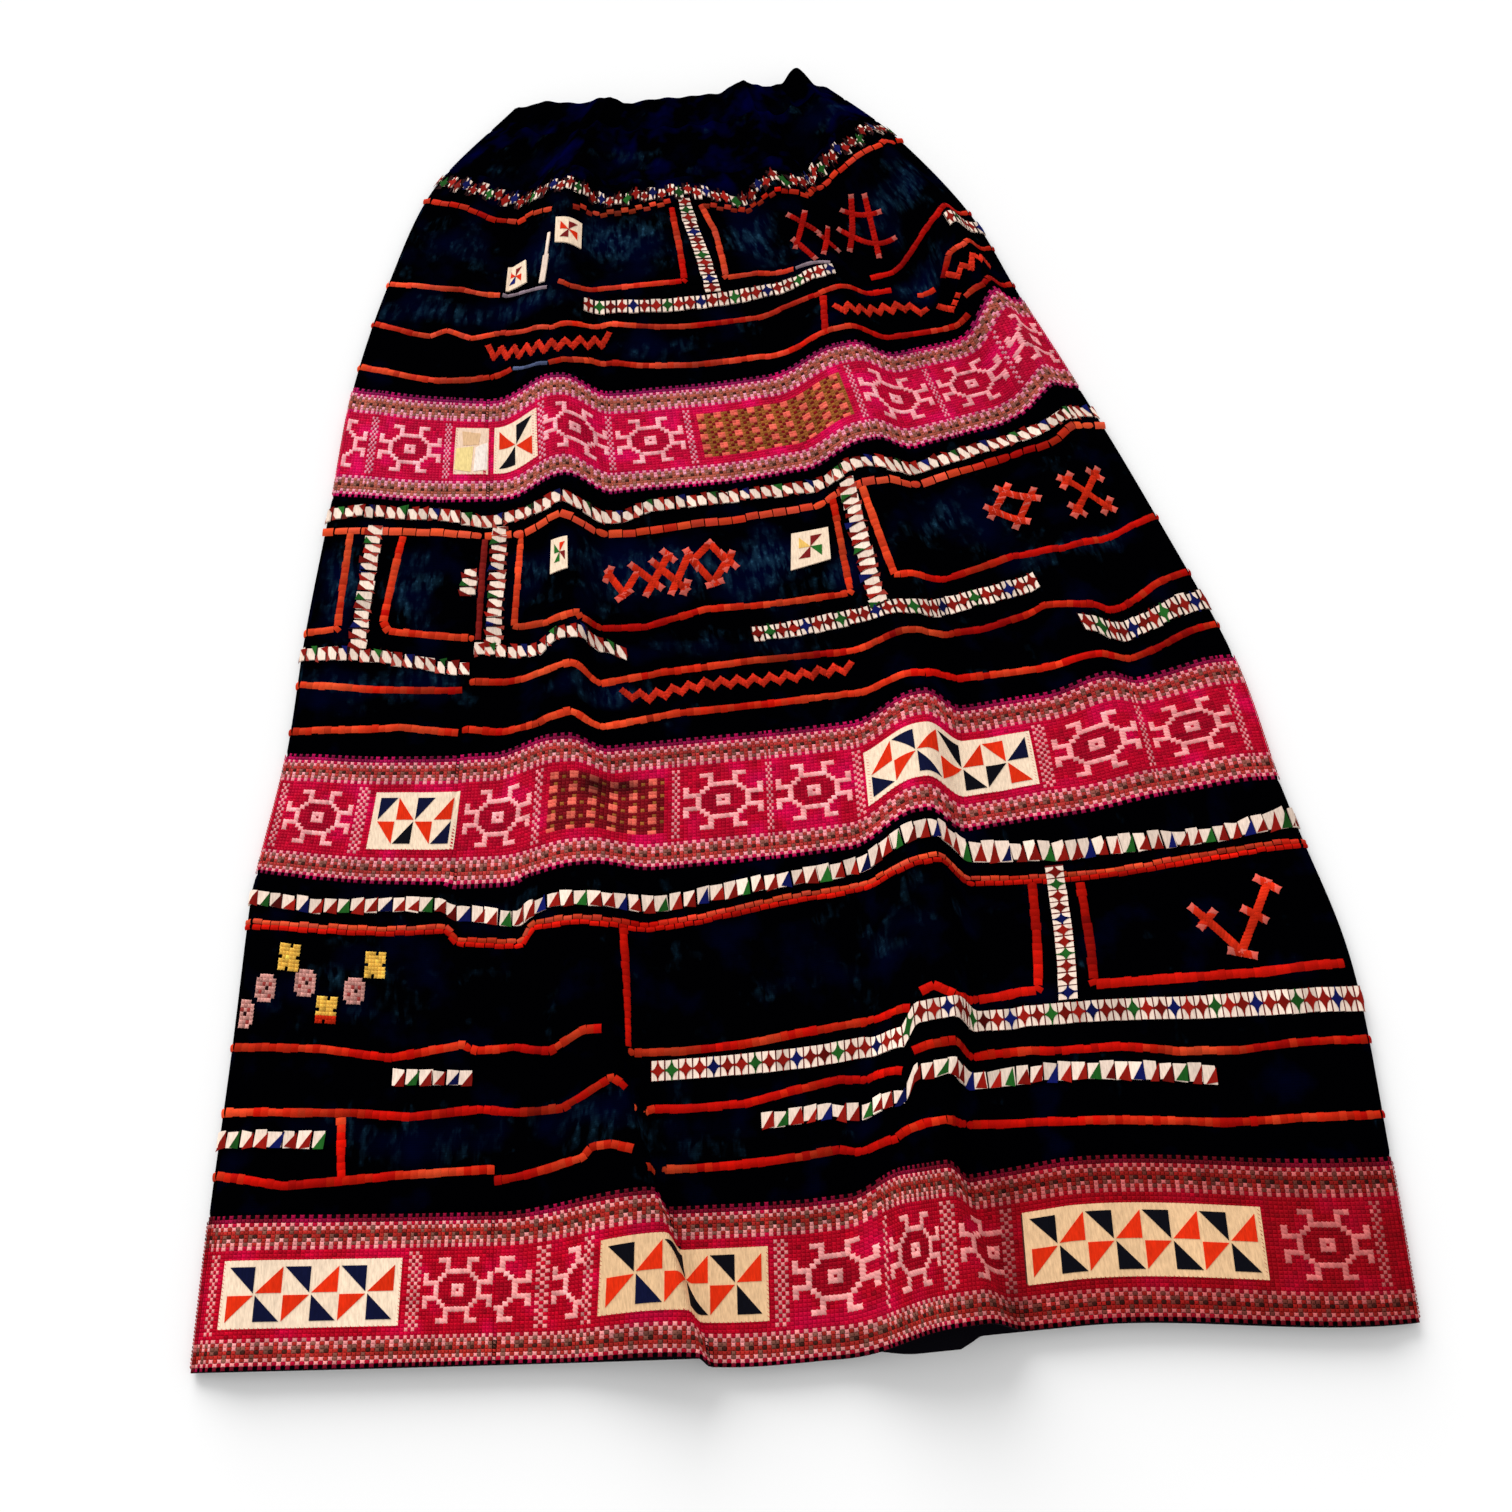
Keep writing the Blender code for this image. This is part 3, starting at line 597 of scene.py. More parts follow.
def indigo_material():
    material, g, shader = new_material("indigo_cotton", 0.9, 0.0)
    weave = g.node("ShaderNodeUVMap", uv_map=WEAVE_MAP)
    worn = g.node("ShaderNodeAttribute", output="Fac", attribute_name="worn")
    # Teal flecks are worn yarn with painted highlight; deep blue clouds are painted sheen. Both grow where
    # the table's share is high.
    patchy = g.ramp(g.noise(weave, CLOUDS, 3.0) + worn * WEAR_AND_SHEEN_CLOUDS, (0.64, 0.0), (0.95, 1.0))
    flecks = g.ramp(g.noise(g.stretch(weave, *FLECKS), 1.0, 3.0, 0.6), (0.52, 0.0), (0.76, 1.0))
    streaks = g.ramp(g.noise(g.stretch(weave, *STREAKS), 1.0, 2.0), (0.44, 0.0), (0.74, 1.0))
    clouds = g.ramp(g.noise(weave, BLUE_CLOUDS, 4.0) + worn * WEAR_AND_SHEEN_BLUE, (0.55, 0.0), (1.0, 1.0))
    blue = g.mix(clouds, INDIGO, DEEP_BLUE)
    # Blue patches of painted sheen on the plain top.
    sheen_patches = g.ramp(g.noise(weave, SHEEN_PATCHES, 3.0, 0.6), (0.5, 0.0), (0.66, 1.0))
    down = g.node("ShaderNodeSeparateXYZ", {0: weave}, output="Y")
    blue = g.mix(sheen_patches * g.ramp(down, (SHEEN_PATCHES_END, 1.0), (SHEEN_PATCHES_GONE, 0.0)), blue, SHEEN_BLUE)
    yarn_wear_and_sheen = streaks * STREAK_SHARE + streaks * flecks * FLECK_SHARE
    feed(g, shader, Base_Color=g.mix(patchy * yarn_wear_and_sheen, blue, TEAL))
    ridges = yarns(g, weave, "X", 0) * YARN_SHARE + yarns(g, weave, "Y", 1) * YARN_SHARE
    slubs = g.noise(g.stretch(weave, *SLUBS), 1.0, 3.0)
    bump = g.node("ShaderNodeBump", {"Strength": YARN_BUMP, "Distance": YARN_DISTANCE,
                                     "Height": ridges + slubs})
    feed(g, shader, Normal=bump)
    return material


INDIGO_CLOTH = indigo_material()
print("material", INDIGO_CLOTH.name)

# %% [markdown]
# ## Shells of cloth
#
# Each strip of the skirt is a closed tube with a wall of 1.2 mm. The outer side has a fine grid, and
# the inside, which is hardly seen, a coarse one. At both ends the wall dips where the next strip is
# sewn on, so that a real groove marks each seam. In the map for baking the outer side has most of
# the square, and the inside a narrow row at its edge.

# %% Make a tube of cloth
WALL = 1.2
SEAM_DIP, SEAM_RUN = 0.7, 1.8
ROWS_BY_SEAM = np.array([1.0, 2.2])
INSIDE_ROWS = 6
OUTER_SHARE, INSIDE_SHARE, INSIDE_FROM = 0.92, 0.06, 0.93


def quads(first, rows, columns, flip=False):
    """Faces of a closed grid whose points are numbered from first, row after row."""
    r, c = np.meshgrid(np.arange(rows - 1), np.arange(columns), indexing="ij")
    here, beside = first + r * columns + c, first + r * columns + (c + 1) % columns
    faces = np.stack([here, here + columns, beside + columns, beside], -1).reshape(-1, 4)
    return faces[:, ::-1] if flip else faces


def scene_object(name, data):
    made = bpy.data.objects.new(name, data)
    bpy.context.scene.collection.objects.link(made)
    return made


def mesh_object(name, points, faces, material):
    mesh = bpy.data.meshes.new(name)
    mesh.from_pydata(points.reshape(-1, 3).tolist(), [], [list(map(int, f)) for f in faces])
    mesh.materials.append(material)
    mesh.polygons.foreach_set("use_smooth", [True] * len(mesh.polygons))
    return scene_object(name, mesh)


def running(steps):
    """Steps added up one after another, from 0."""
    return np.concatenate([[0], np.cumsum(steps)])


def add_map(made, name, values):
    """A UV map from one pair of numbers for each corner of each face."""
    layer = made.data.uv_layers.new(name=name)
    layer.uv.foreach_set("vector", np.asarray(values, np.float32).ravel())


def cloth_shell(name, start, end, turns, rows, material):
    """A closed tube of cloth between two drops, with a map in metres and one for baking."""
    drops = np.linspace(start, end, rows)
    if material == INDIGO_CLOTH:
        drops = np.unique(np.concatenate([drops, start + ROWS_BY_SEAM, end - ROWS_BY_SEAM]))
    dip = -SEAM_DIP * (np.exp(-((drops - start) / SEAM_RUN) ** 2) * (start > 0)
                       + np.exp(-((end - drops) / SEAM_RUN) ** 2) * (end < LENGTH))
    outer, _ = tube(turns[None, :], drops[:, None], dip[:, None])
    inner_drops = np.linspace(start, end, INSIDE_ROWS)
    inner_dip = np.interp(inner_drops, drops, dip)
    inner, _ = tube(turns[None, :], inner_drops[:, None], inner_dip[:, None] - WALL)
    rows, columns = outer.shape[:2]
    inner_first = rows * columns
    c = np.arange(columns)
    after = (c + 1) % columns
    top = np.stack([c, after, inner_first + after, inner_first + c], 1)
    low, low_in = (rows - 1) * columns, inner_first + (INSIDE_ROWS - 1) * columns
    bottom = np.stack([low + after, low + c, low_in + c, low_in + after], 1)
    faces = np.concatenate([quads(0, rows, columns), quads(inner_first, INSIDE_ROWS, columns, True),
                            top, bottom])
    points = np.concatenate([outer.reshape(-1, 3), inner.reshape(-1, 3)])
    made = mesh_object(name, points, faces, material)
    steps = np.linalg.norm(np.roll(outer[rows // 2], -1, 0) - outer[rows // 2], axis=1)
    along = running(steps)
    column = np.concatenate([np.tile(c, rows), np.tile(c, INSIDE_ROWS)])
    depth = np.concatenate([np.repeat(drops, columns), np.repeat(inner_drops, columns)]) * MM
    wraps = np.ptp(column[faces], axis=1) > columns // 2
    at_column = np.where(wraps[:, None] & (column[faces] == 0), columns, column[faces])
    if material == INDIGO_CLOTH:
        # The share of worn cloth and painted sheen at each point of the indigo tubes.
        worn = wear_and_sheen_share(turns[column], depth / MM)
        made.data.attributes.new("worn", "FLOAT", "POINT").data.foreach_set("value", worn)
    metres = np.stack([along[at_column], depth[faces]], -1)
    add_map(made, WEAVE_MAP, metres)
    inside = (np.arange(len(faces)) >= (rows - 1) * columns)[:, None, None]
    whole = (metres - [0, start * MM]) / [along[-1], (end - start) * MM] * [1, OUTER_SHARE]
    add_map(made, BAKE_MAP, whole * np.where(inside, [1, INSIDE_SHARE], 1) + inside * [0, INSIDE_FROM])
    return made, along[-1]


def round_turns(front, side=4, back=40):
    """Turns for the columns of a tube: the given front ones, then the right side, back and left."""
    return np.concatenate([front, 1 + np.arange(1, side) / side, 2 + np.arange(back) / back,
                           3 + np.arange(side) / side])


print("columns round a tube, besides its front:", len(round_turns([])))

# %% [markdown]
# The plain parts come first: the gathered casing, the plain top and the three dark panels. They are
# all one cloth, so one loop makes them.

# %% Plain cloth
FRONT_COLUMNS = np.linspace(0, 1, 231)
PANEL_TOPS = {tier: TOP + TIER * (tier - 1) for tier in (1, 2, 3)}
PLAIN = [("waist_casing", 0.0, CASING, 12), ("plain_top", CASING, TOP, 18)]
PLAIN += [(f"dark_panel_{tier}", top, top + PANEL, 60) for tier, top in PANEL_TOPS.items()]
PIECES = {}


def keep(piece):
    """Keeps a piece that has no flat size under its own name."""
    PIECES[piece.name] = (piece,)


for node, start, end, rows in PLAIN:
    piece, girth = cloth_shell(node + "_cloth", start, end, round_turns(FRONT_COLUMNS), rows,
                               INDIGO_CLOTH)
    PIECES[node] = (piece, girth, (end - start) * MM)
    print(piece.name, len(piece.data.polygons), "faces, girth", round(girth, 3), "m")

# %% [markdown]
# ## The charts of the cross-stitch
#
# A band is counted work: every stitch is one square of the cloth. So the patterns are charted as on
# squared paper, one letter a stitch. The hooked star, the lattice and the borders are traditional
# repeats. A picture of the band would be quicker, but it has no thread that catches the light.

# %% Charts
STAR = (
    "....xxx.....xxx....",
    "......x.....x......",
    "......x.....x......",
    "......xxxxxxx......",
    "x....xdddddddx....x",
    "x...xdddddddddx...x",
    "xxxxdddddddddddxxxx",
    "...xddddxxxddddx...",
    "...xddddxdxddddx...",
)
STAR += STAR[-2::-1]
LATTICE = ("ssllw", "sslwl", "lwlll", "wllwl")
DARK_LATTICE = ("sswww", "sswlw", "wwwww", "wlwww")
TOP_BORDER = ("E E E ", "EEEEEE", "PRPRPR", "SPtPSP", "SStSSS", "BSSBSt", "PtSPSt", "SPSPtP", "RPRPRP",
              "CCCCCC")
BOTTOM_BORDER = ("CCCCCC", "RPRPRP", "PSPtPS", "tSPSPt", "BSSBSt", "SStSSS", "SPtPSP", "PRPRPR", "E E E ")
STAR_LETTERS = {"x": "L", "d": "D", ".": "C"}
RULE = ("PCPC", "CPCP")
CELL_ROWS = 21
ROWS = len(TOP_BORDER) + CELL_ROWS + len(BOTTOM_BORDER)
print("stitches down a band:", ROWS)

# %% [markdown]
# Each field has a kind, its stitches and the place where it ends, because the gathers squeeze some
# fields more than others. A last number says at which column a cut star starts.

# %% Fields of the bands
Field = namedtuple("Field", "kind stitches end first", defaults=(0,))
BANDS = {
    1: rows_of(Field, ("star", 8, 0.0333, 13), ("rule", 4, 0.044), ("star", 21, 0.137), ("rule", 4,
        0.1465), ("pale", 11, 0.2015), ("patch", 15, 0.2705), ("rule", 3, 0.28), ("star", 19, 0.3625,
        1), ("rule", 3, 0.3715), ("star", 21, 0.4735), ("rule", 3, 0.483), ("lattice", 47, 0.7085),
        ("rule", 3, 0.7165), ("star", 21, 0.8235), ("rule", 3, 0.831), ("star", 21, 0.929), ("rule",
        2, 0.934), ("star", 15, 1)),
    2: rows_of(Field, ("rule", 3, 0.007), ("star", 21, 0.079), ("rule", 4, 0.0905), ("patch", 24,
        0.1855), ("star", 21, 0.259), ("rule", 3, 0.267), ("dark_lattice", 33, 0.3965), ("rule", 3,
        0.4045), ("star", 21, 0.492), ("rule", 3, 0.4985), ("star", 21, 0.5815), ("rule", 3, 0.5905),
        ("patch", 44, 0.77), ("rule", 4, 0.783), ("star", 21, 0.8785), ("rule", 3, 0.885), ("star",
        21, 0.9805), ("rule", 3, 0.988), ("plain", 3, 1)),
    3: rows_of(Field, ("plain", 2, 0.004), ("rule", 3, 0.011), ("patch", 42, 0.169), ("rule", 4,
        0.18), ("star", 21, 0.2415), ("star", 9, 0.2745, 12), ("rule", 3, 0.2855), ("star", 9,
        0.3115), ("rule", 3, 0.319), ("patch", 42, 0.472), ("rule", 4, 0.484), ("star", 21, 0.562),
        ("rule", 2, 0.565), ("star", 21, 0.608), ("rule", 4, 0.6205), ("star", 13, 0.664), ("rule",
        3, 0.674), ("patch", 56, 0.887), ("plain", 2, 0.895), ("star", 21, 0.975), ("rule", 3,
        0.985), ("plain", 4, 1)),
}


def cell_letters(field):
    """The letters inside one field, row by row."""
    rows = [["C"] * field.stitches for _ in range(CELL_ROWS)]
    for r in range(CELL_ROWS):
        for c in range(field.stitches):
            if field.kind == "rule":
                rows[r][c] = RULE[r % 2][(c + (field.stitches == 2)) % 4]
            elif "lattice" in field.kind and 2 <= r < CELL_ROWS - 2 and 2 <= c < field.stitches - 2:
                repeat = LATTICE if field.kind == "lattice" else DARK_LATTICE
                rows[r][c] = repeat[(r - 2) % len(repeat)][(c - 2) % len(repeat[0])]
            elif field.kind == "star":
                s, t = r - 2, c + field.first - 1
                if 0 <= s < len(STAR) and 0 <= t < len(STAR[0]):
                    rows[r][c] = STAR_LETTERS[STAR[s][t]]
            elif field.kind in ("patch", "pale"):
                frame_edge = min(r, c, CELL_ROWS - 1 - r, field.stitches - 1 - c)
                rows[r][c] = "C" if frame_edge < 2 else "."
    return rows


def band_chart(fields):
    """All letters of a band, and the turn at each side of each column."""
    letters, edges, start = [[] for _ in range(ROWS)], [0.0], 0.0
    for field in fields:
        edges += list(between(start, field.end, np.arange(1, field.stitches + 1) / field.stitches))
        start = field.end
        for r, row in enumerate(cell_letters(field)):
            letters[len(TOP_BORDER) + r] += row
    for border, first in ((TOP_BORDER, 0), (BOTTOM_BORDER, ROWS - len(BOTTOM_BORDER))):
        for r, repeat in enumerate(border, first):
            letters[r] = [repeat[c % len(repeat)] for c in range(len(edges) - 1)]
    return np.array(letters), np.array(edges)


for band, fields in BANDS.items():
    chart, edges = band_chart(fields)
    print("band", band, "chart", chart.shape)

# %% [markdown]
# ## Thread colours
#
# The silk and cotton threads were dyed in small lots, so no two stretches have quite the same red.
# The chart's letters become colours here. Magenta turns to crimson towards the hem, a slow mottling
# stands for the lots, and each stitch differs a little from its neighbours.

# %% Colours of the threads
def dye(red, green, blue):
    """A colour as a screen shows it, from 0 to 255, turned into light."""
    seen = np.array([red, green, blue]) / 255.0
    return np.append(np.where(seen <= 0.04045, seen / 12.92, ((seen + 0.055) / 1.055) ** 2.4), 1.0)


BARE = dye(10, 8, 14)
THREADS = {
    1: {"R": dye(196, 16, 88), "C": dye(204, 0, 58), "D": dye(186, 0, 50), "P": dye(242, 158, 178),
        "L": dye(255, 178, 184), "E": dye(140, 10, 80), "S": dye(180, 92, 74), "t": dye(150, 96, 80)},
    2: {"R": dye(180, 6, 56), "C": dye(190, 0, 42), "D": dye(170, 0, 38), "P": dye(238, 152, 158),
        "L": dye(252, 172, 172), "E": dye(132, 6, 60), "S": dye(178, 54, 50), "t": dye(140, 84, 74)},
    3: {"R": dye(176, 4, 36), "C": dye(188, 0, 32), "D": dye(168, 0, 28), "P": dye(238, 150, 148),
        "L": dye(250, 166, 162), "E": dye(118, 4, 32), "S": dye(172, 40, 34), "t": dye(132, 78, 66)},
}
UNDER_PATCH = dye(120, 90, 80)
MAGENTA, MAGENTA_LOTS = dye(215, 0, 96), {1: 0.9, 2: 0.6, 3: 0.3}
OTHER_THREADS = {"l": dye(156, 94, 40), "s": dye(236, 108, 90), "w": dye(124, 8, 22),
                 "B": dye(66, 30, 22)}
LOT_STITCHES = 5
# A lot turns magenta above this value. Lots differ in brightness, and so do single stitches.
MAGENTA_SLOPE, MAGENTA_START = 1.6, 0.75
DARK_LOT, BRIGHT_LOT, STITCH_SPREAD = 0.82, 1.18, 0.14
DARKEST, BRIGHTEST, PAINTED_SHADE_DEPTH = 0.15, 1.35, 0.8
# Painted shade: the lowest band is darkened towards the right and on the shaded right flanks of its
# two folds, the upper ones a little towards the right.
PAINTED_SHADE_BY_TURN = {1: ((0.6, 1.0), (1.0, 0.85)), 2: ((0.9, 1.0), (1.0, 0.95)),
               3: ((0.335, 1.0), (0.35, 0.66), (0.38, 0.85), (0.62, 0.8), (0.65, 0.66), (0.668, 0.45),
                   (0.69, 0.66), (0.8, 0.58), (1.0, 0.54))}
# Towards the right the lowest band's thread is also a purer red.
REDDER_LOTS = {1: ((0.0, 1.0), (1.0, 0.85)), 2: ((0.0, 1.0), (1.0, 0.85)),
               3: ((0.6, 1.0), (0.68, 0.6))}
# Painted shade on the right flank of the first long fold in the middle band: band, turn and row of the
# middle, then the reach in turns and in rows.
ShadePatch = namedtuple("ShadePatch", "band turn row across down")
PAINTED_SHADE_PATCHES = (ShadePatch(2, 0.317, 15, 0.013, 4.0), ShadePatch(2, 0.345, 13, 0.02, 2.5))
print("crimson of band 3:", np.round(THREADS[3]["C"], 3))

# %% [markdown]
# A slow mottling, a few stitches long, stands for the dye lots, and small changes by chance, with a
# fixed seed, keep two neighbours from being quite alike.

# %% Colour of each stitch
random = np.random.default_rng(8673)


def mottle(rows, columns):
    """Slow changes from 0 to 1 over a chart, a few stitches long."""
    coarse = random.random((rows // LOT_STITCHES + 2, columns // LOT_STITCHES + 2))
    r, c = np.arange(rows) / LOT_STITCHES, np.arange(columns) / LOT_STITCHES
    i, j = r.astype(int), c.astype(int)
    s, t = ease(r - i)[:, None], ease(c - j)[None, :]
    upper = coarse[i][:, j] * (1 - t) + coarse[i][:, j + 1] * t
    lower = coarse[i + 1][:, j] * (1 - t) + coarse[i + 1][:, j + 1] * t
    return upper * (1 - s) + lower * s


def thread_colours(letters, band, turns):
    """The colour of each stitch of a chart, whose columns lie at the given turns."""
    colours = np.zeros(letters.shape + (4,))
    colours[:] = BARE
    colours[letters == "."] = UNDER_PATCH
    for letter, colour in (THREADS[band] | OTHER_THREADS).items():
        colours[letters == letter] = colour
    lots = mottle(*letters.shape)[..., None]
    red = np.isin(letters, ["R", "C", "E"])[..., None]
    share = np.clip(lots * MAGENTA_SLOPE - MAGENTA_START, 0, 1) * MAGENTA_LOTS[band]
    colours = np.where(red, between(colours, MAGENTA, share), colours)
    bright = between(DARK_LOT, BRIGHT_LOT, lots)
    bright = bright * random.normal(1.0, STITCH_SPREAD, letters.shape)[..., None]
    # Painted shade: darker towards the right, and on the shaded flanks of the lowest band's folds.
    bright = bright * np.interp(turns, *zip(*PAINTED_SHADE_BY_TURN[band]))[None, :, None]
    # Painted shade on the middle band, where the first long fold's right flank is turned from the light.
    for shade_patch in (s for s in PAINTED_SHADE_PATCHES if s.band == band):
        gap = (((turns - shade_patch.turn) / shade_patch.across) ** 2)[None, :, None]
        gap = gap + (((np.arange(len(letters)) - shade_patch.row) / shade_patch.down) ** 2)[:, None, None]
        bright = bright * (1 - PAINTED_SHADE_DEPTH * np.exp(-gap))
    colours[..., :3] *= np.clip(bright, DARKEST, BRIGHTEST)
    colours[..., 1:3] *= np.interp(turns, *zip(*REDDER_LOTS[band]))[None, :, None]
    return np.clip(colours, 0, 1)


print("magenta as light:", np.round(MAGENTA, 3))

# %% [markdown]
# ## Materials that read the thread's colour
#
# One material serves the stitches, one the cloth under them and one the cotton pieces. Each takes
# its colour from the piece, where every stitch or scrap carries its own, and adds its own fine
# unevenness and shine.

# %% Thread and cotton materials
def coloured_material(name, mottling, grain, bump_distance, stretch, roughness, shine):
    material, g, shader = new_material(name, roughness, shine)
    own = g.node("ShaderNodeAttribute", attribute_name="thread")
    place = g.node("ShaderNodeTexCoord", output="Object")
    uneven = g.noise(g.stretch(place, *stretch), grain, 3.0)
    mottled = g.node("ShaderNodeVectorMath", {0: own, 1: uneven * 2.0}, operation="MULTIPLY")
    bump = g.node("ShaderNodeBump", {"Strength": 0.7, "Distance": bump_distance, "Height": uneven})
    feed(g, shader, Base_Color=g.mix(mottling, own, mottled), Normal=bump)
    return material


STITCH_THREAD = coloured_material("stitch_thread", 0.3, 2600.0, 0.0001, (1, 1), 0.7, 0.06)
BAND_CLOTH = coloured_material("band_cloth", 0.35, 900.0, 0.0002, (1, 1), 0.85, 0.02)
WHITE_COTTON = coloured_material("white_cotton", 0.4, 300.0, 0.0004, (3.5, 0.7), 0.85, 0.05)
ORANGE_THREAD = coloured_material("orange_thread", 0.35, 1800.0, 0.00012, (1, 1), 0.75, 0.02)
print("materials:", [m.name for m in bpy.data.materials])

# %% [markdown]
# ## The stitched bands
#
# Each band's cloth has one face for each stitch of its chart. On the front real stitches go on top,
# and the cloth under them takes a darker copy of their colour, painted shade in the gaps between the
# crosses. The back, which lies on the floor, keeps its pattern in the cloth's colour alone.

# %% Cloth of the bands
# Painted shade: the share of their colour that the cloth keeps under the front's stitches, and less still
# in the border rows.
SHADE_UNDER_STITCHES, UNDER_BORDERS = 0.55, 0.16
BORDER_ROWS = np.r_[0:len(TOP_BORDER) - 2, ROWS - len(BOTTOM_BORDER) + 2:ROWS]
BACK_FIELDS = (("rule", 4), ("star", 21)) * 11
RIGHT_SIDE, LEFT_SIDE = Field("plain", 4, 2.0), Field("plain", 4, 4.0)
# The back's edges show by the hem: stitches reach round the sides as far as these turns.
SEWN_TO, SEWN_FROM = 1.5, 3.4


def colour_faces(made, colours):
    """A colour for each face, kept at its corners."""
    layer = made.data.color_attributes.new("thread", "FLOAT_COLOR", "CORNER")
    sizes = np.array([len(p.vertices) for p in made.data.polygons])
    layer.data.foreach_set("color", np.repeat(colours, sizes, 0).astype(np.float32).ravel())


BAND_STITCHES = {}
for band, fields in BANDS.items():
    start = TOP + TIER * band - BAND
    back = tuple(Field(kind, stitches, 2 + (i + 1) / len(BACK_FIELDS))
                 for i, (kind, stitches) in enumerate(BACK_FIELDS))
    full, turns = band_chart((*fields, RIGHT_SIDE, *back, LEFT_SIDE))
    piece, girth = cloth_shell(f"stitched_band_{band}_cloth", start, start + BAND, turns[:-1],
                               ROWS + 1, BAND_CLOTH)
    colours = thread_colours(full, band, turns[:-1])
    seen = (turns[:-1] < SEWN_TO) | (turns[:-1] > SEWN_FROM)
    ground = colours * np.where(seen, SHADE_UNDER_STITCHES, 1.0)[None, :, None]
    ground[BORDER_ROWS] *= np.where(seen, UNDER_BORDERS, 1.0)[None, :, None]
    ground[..., 3] = 1.0
    others = len(piece.data.polygons) - full.size
    colour_faces(piece, np.concatenate([ground.reshape(-1, 4), np.tile(BARE, (others, 1))]))
    PIECES[f"stitched_band_{band}"] = (piece, girth, BAND * MM)
    BAND_STITCHES[band] = (full, turns, colours, seen, start)
    print(piece.name, full.shape, len(piece.data.polygons), "faces")

# %% [markdown]
# ## Sewing with Geometry Nodes
#
# A stitch is a small shape set on each point of a mesh. The points carry the direction of the weave,
# the way out of the cloth, the size of their cell and their colour. One node group sews them all. A
# cross has two legs, and a thick line is a row of padded blocks.

# %% Shapes of the stitches
Shape = namedtuple("Shape", "points faces map")


def diagonal(flip, lift, lower):
    """One leg of a cross-stitch: a pointed ribbon from corner to corner that stands up in the middle."""
    tip, waist, width, sunk, side = 0.7, 0.3, 0.3, -0.15, 0.05
    flat = [(-tip, 0, sunk), (-waist, -width, side), (-waist, 0, 1), (-waist, width, side),
            (waist, -width, side), (waist, 0, 1), (waist, width, side), (tip, 0, sunk)]
    turn = math.sqrt(0.5)
    points = [(a * turn - b * turn * flip, a * turn * flip + b * turn, c + lift * (c == 1))
              for a, b, c in flat]
    seen = [((a / tip + 1) / 2, lower + 0.25 + b) for a, b, _ in flat]
    faces = [(0, 1, 2), (0, 2, 3), (1, 4, 5, 2), (2, 5, 6, 3), (4, 7, 5), (5, 7, 6)]
    return Shape(points, faces, seen)


def joined(*shapes):
    """Several shapes as one."""
    points, faces, seen = [], [], []
    for shape in shapes:
        faces += [tuple(i + len(points) for i in face) for face in shape.faces]
        points += shape.points
        seen += shape.map
    return Shape(points, faces, seen)


def pillow(along, across):
    """A padded block: its heights along it times its heights across it."""
    columns, rows = len(along), len(across)
    points = [(c / (columns - 1) - 0.5, r / (rows - 1) - 0.5, along[c] * across[r])
              for r in range(rows) for c in range(columns)]
    faces = [(r * columns + c, r * columns + c + 1, (r + 1) * columns + c + 1, (r + 1) * columns + c)
             for r in range(rows - 1) for c in range(columns - 1)]
    return Shape(points, faces, [(x + 0.5, y + 0.5) for x, y, _ in points])


MAP_MARGIN = 0.05


def pattern_object(name, shape):
    """The shape that the group repeats. It is hidden, and is removed at the end."""
    made = mesh_object(name, np.array(shape.points, float), shape.faces, STITCH_THREAD)
    seen = np.array(shape.map) * (1 - 2 * MAP_MARGIN) + MAP_MARGIN
    add_map(made, BAKE_MAP, np.concatenate([seen[list(face)] for face in shape.faces]))
    made.hide_render = made.hide_viewport = True
    return made


CROSS = pattern_object("cross_stitch_shape", joined(diagonal(1, 0.0, 0.0), diagonal(-1, 0.45, 0.5)))
BLOCK = pattern_object("padded_line_shape", pillow((0.55, 0.93, 1, 0.93, 0.55), (0, 0.8, 1, 0.8, 0)))
print("shapes:", CROSS.name, BLOCK.name)

# %% [markdown]
# The group sets the shape on every point, turned by the weave and sized to its cell, and realizes the
# instances, because the export wants real faces. Each stitch gets its own cell of the map.

